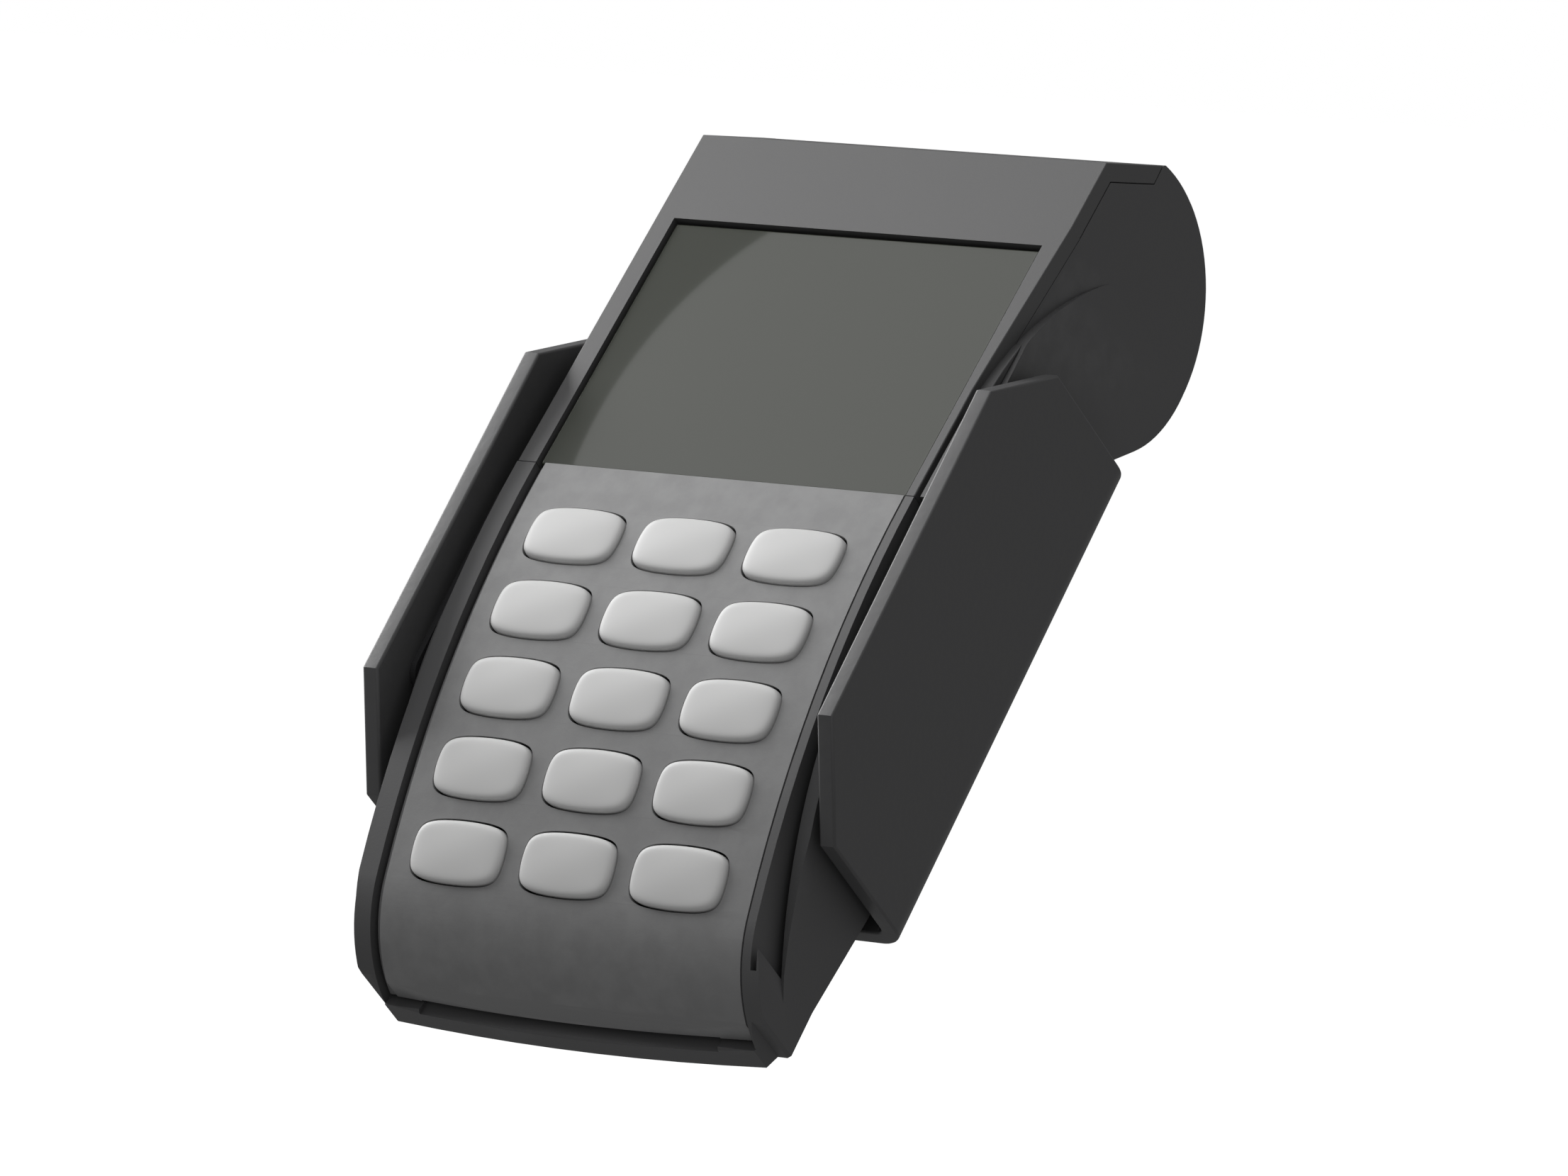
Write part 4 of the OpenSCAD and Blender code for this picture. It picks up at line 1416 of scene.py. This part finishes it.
@dataclass
class Casing:
    """The two moulded halves of the casing, their edges eased as a mould leaves them."""

    lean: Lean
    widths: tuple[float, ...] = (39.0, 40.4, 38.6, 37.0)
    outer: float = 1.0
    lip: float = 0.9
    inner: float = 0.25
    round_steps: int = 4
    lip_height: float = 4.5
    lip_depths: Point = (-4.6, 0.2)
    back_edge: float = -4.0

    def upright(self, node: str, name: str) -> Bench:
        """Stands a merged copy of a node upright on the bench.

        Args:
            node: The node's name.
            name: The piece's name.

        Returns:
            The bench, ready to shape the copy.
        """
        bench = Bench.copy_of(node, name)
        piece = bench.done()
        Finisher(piece).place(self.lean.matrix().inverted())
        bpy.ops.object.mode_set(mode="EDIT")
        return bench

    def is_outer(self, part: Part) -> bool:
        """Tells whether an edge runs along the outside of a side wall."""
        on_side = all(min(abs(abs(e.x) - w) for w in self.widths) < 0.02 for e in part.ends)
        return part.bend > 60 and on_side and abs(part.along.x) < 0.2 and part.at.y < self.back_edge

    def is_lip(self, part: Part) -> bool:
        """Tells whether an edge runs across the foot's lip.

        Args:
            part: The edge.

        Returns:
            True if it does.
        """
        front, rear = self.lip_depths
        across = abs(part.along.x) > 0.95 and part.bend > 35
        return across and part.at.z < self.lip_height and front < part.at.y < rear

    def build(self, paints: Paintbox) -> None:
        """Builds the rear housing and the front cover.

        Args:
            paints: The finishes.
        """
        for node, name, slot in (
            ("rear_housing", "rear_shell", Slot.CASE),
            ("front_cover", "front_bezel", Slot.COVER),
        ):
            bench = self.upright(node, name)
            log.info("%s: %d edges to round", name, bench.pick(Kind.EDGE, self.is_outer))
            bench.bevel(self.outer, self.round_steps)
            if bench.pick(Kind.EDGE, self.is_lip):
                bench.bevel(self.lip, self.round_steps)
            shell = Finisher(bench.done()).ease(self.inner, 40.0, 2)
            shell.place(self.lean.matrix()).shade(35.0)
            Home("terminal", slot, (node,)).settle(shell.piece, paints)


# ---- studio ----------------------------------------------------------------------------


def bearing(azimuth: float, elevation: float) -> Vector:
    """Finds the direction of something that stands around the object.

    Args:
        azimuth: Degrees round from the front, positive to the right.
        elevation: Degrees above the horizon.

    Returns:
        The direction, one unit long.
    """
    turn, rise = math.radians(azimuth), math.radians(elevation)
    level = math.cos(rise)
    return Vector((math.sin(turn) * level, -math.cos(turn) * level, math.sin(rise)))


class LampShape(Enum):
    """Outline of a soft lamp."""

    SQUARE = "SQUARE"
    ROUND = "DISK"


@dataclass(frozen=True)
class Lamp:
    """One soft lamp that faces the object: its bearing in degrees, metres and watts."""

    name: str
    azimuth: float
    elevation: float
    reach: float
    size: float
    power: float
    shape: LampShape = LampShape.SQUARE

    def hang(self, target: Vector) -> None:
        """Hangs the lamp.

        Args:
            target: The point that it faces.
        """
        data = bpy.data.lights.new(self.name, "AREA")
        data.shape, data.size, data.energy = self.shape.value, self.size, self.power
        lamp = bpy.data.objects.new(self.name, data)
        bpy.context.scene.collection.objects.link(lamp)
        back = bearing(self.azimuth, self.elevation)
        lamp.location = target + back * self.reach
        lamp.rotation_euler = (-back).to_track_quat("-Z", "Y").to_euler()


@dataclass
class Studio:
    """Camera, floor, backdrop light and the three soft lamps."""

    target: Vector = field(default_factory=lambda: Vector((0.0, -0.0008, 0.0159)))
    distance: float = 1.7888
    azimuth: float = 35.325
    elevation: float = 6.162
    roll: float = 1.198
    lens: float = 262.0
    sensor: float = 36.0
    floor_z: float = -0.45
    floor_size: float = 14.0
    ambient: float = 0.22
    floor_glow: float = 0.8
    backdrop: float = 1.0
    lamps: tuple[Lamp, ...] = (
        Lamp("overhead_softbox", -30.0, 80.0, reach=1.6, size=1.2, power=8.0),
        Lamp("side_softbox", -90.0, 32.0, reach=1.6, size=0.9, power=19.5),
        Lamp("round_reflector", -73.1, 57.0, reach=1.583, size=0.3, power=0.22, shape=LampShape.ROUND),
    )

    def camera(self) -> None:
        """Stands the camera where the viewer stands."""
        back = bearing(self.azimuth, self.elevation)
        data = bpy.data.cameras.new("viewer")
        data.lens, data.sensor_width = self.lens, self.sensor
        data.clip_start, data.clip_end = 0.01, 60.0
        camera = bpy.data.objects.new("viewer", data)
        bpy.context.scene.collection.objects.link(camera)
        camera.location = self.target + back * self.distance
        level = (-back).to_track_quat("-Z", "Y").to_matrix().to_4x4()
        rolled = level @ Matrix.Rotation(math.radians(self.roll), 4, "Z")
        camera.rotation_euler = rolled.to_euler()
        bpy.context.scene.camera = camera

    def floor(self) -> None:
        """Lays the plain pale floor."""
        bpy.ops.mesh.primitive_plane_add(size=self.floor_size, location=(0.0, 0.0, self.floor_z))
        floor = bpy.context.object
        floor.name = "floor"
        g = Graph("pale_floor")
        cloud = g.noise(0.6, 2.0)
        colour = g.tint(cloud, (0.93, 0.93, 0.93), (0.96, 0.96, 0.96))
        glow = {"Emission_Color": (1.0, 1.0, 1.0, 1.0), "Emission_Strength": self.floor_glow}
        floor.data.materials.append(g.surface(Base_Color=colour, Roughness=0.8, **glow))
        floor.visible_diffuse = False
        floor.visible_glossy = False

    def world(self) -> None:
        """Surrounds the set with even light and a white backdrop."""
        world = bpy.data.worlds.new("studio")
        bpy.context.scene.world = world
        world.use_nodes = True
        tree = world.node_tree
        tree.nodes.clear()
        seen = tree.nodes.new("ShaderNodeLightPath")
        strength = tree.nodes.new("ShaderNodeMix")
        strength.inputs[2].default_value = self.ambient
        strength.inputs[3].default_value = self.backdrop
        back = tree.nodes.new("ShaderNodeBackground")
        back.inputs["Color"].default_value = (1.0, 1.0, 1.0, 1.0)
        out = tree.nodes.new("ShaderNodeOutputWorld")
        tree.links.new(seen.outputs["Is Camera Ray"], strength.inputs[0])
        tree.links.new(strength.outputs[0], back.inputs["Strength"])
        tree.links.new(back.outputs[0], out.inputs["Surface"])

    def build(self) -> None:
        """Builds the whole set."""
        self.camera()
        self.floor()
        self.world()
        for lamp in self.lamps:
            lamp.hang(self.target)
        bpy.context.scene.view_settings.view_transform = "Standard"


def main() -> None:
    """Builds the looks in order."""
    logging.basicConfig(level=logging.INFO, format="%(name)s: %(message)s")
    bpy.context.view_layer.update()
    paints = Paintbox()
    paints.dress_nodes()
    side, lean = SideView(), Lean()
    Keypad(side, lean).build(paints)
    Window(side, lean).build(paints)
    Cradle(lean).build(paints)
    PrinterLid(side, lean).build(paints)
    Casing(lean).build(paints)
    Studio().build()
    log.info("all pieces are built, and the set around them")


if __name__ == "__main__":
    main()
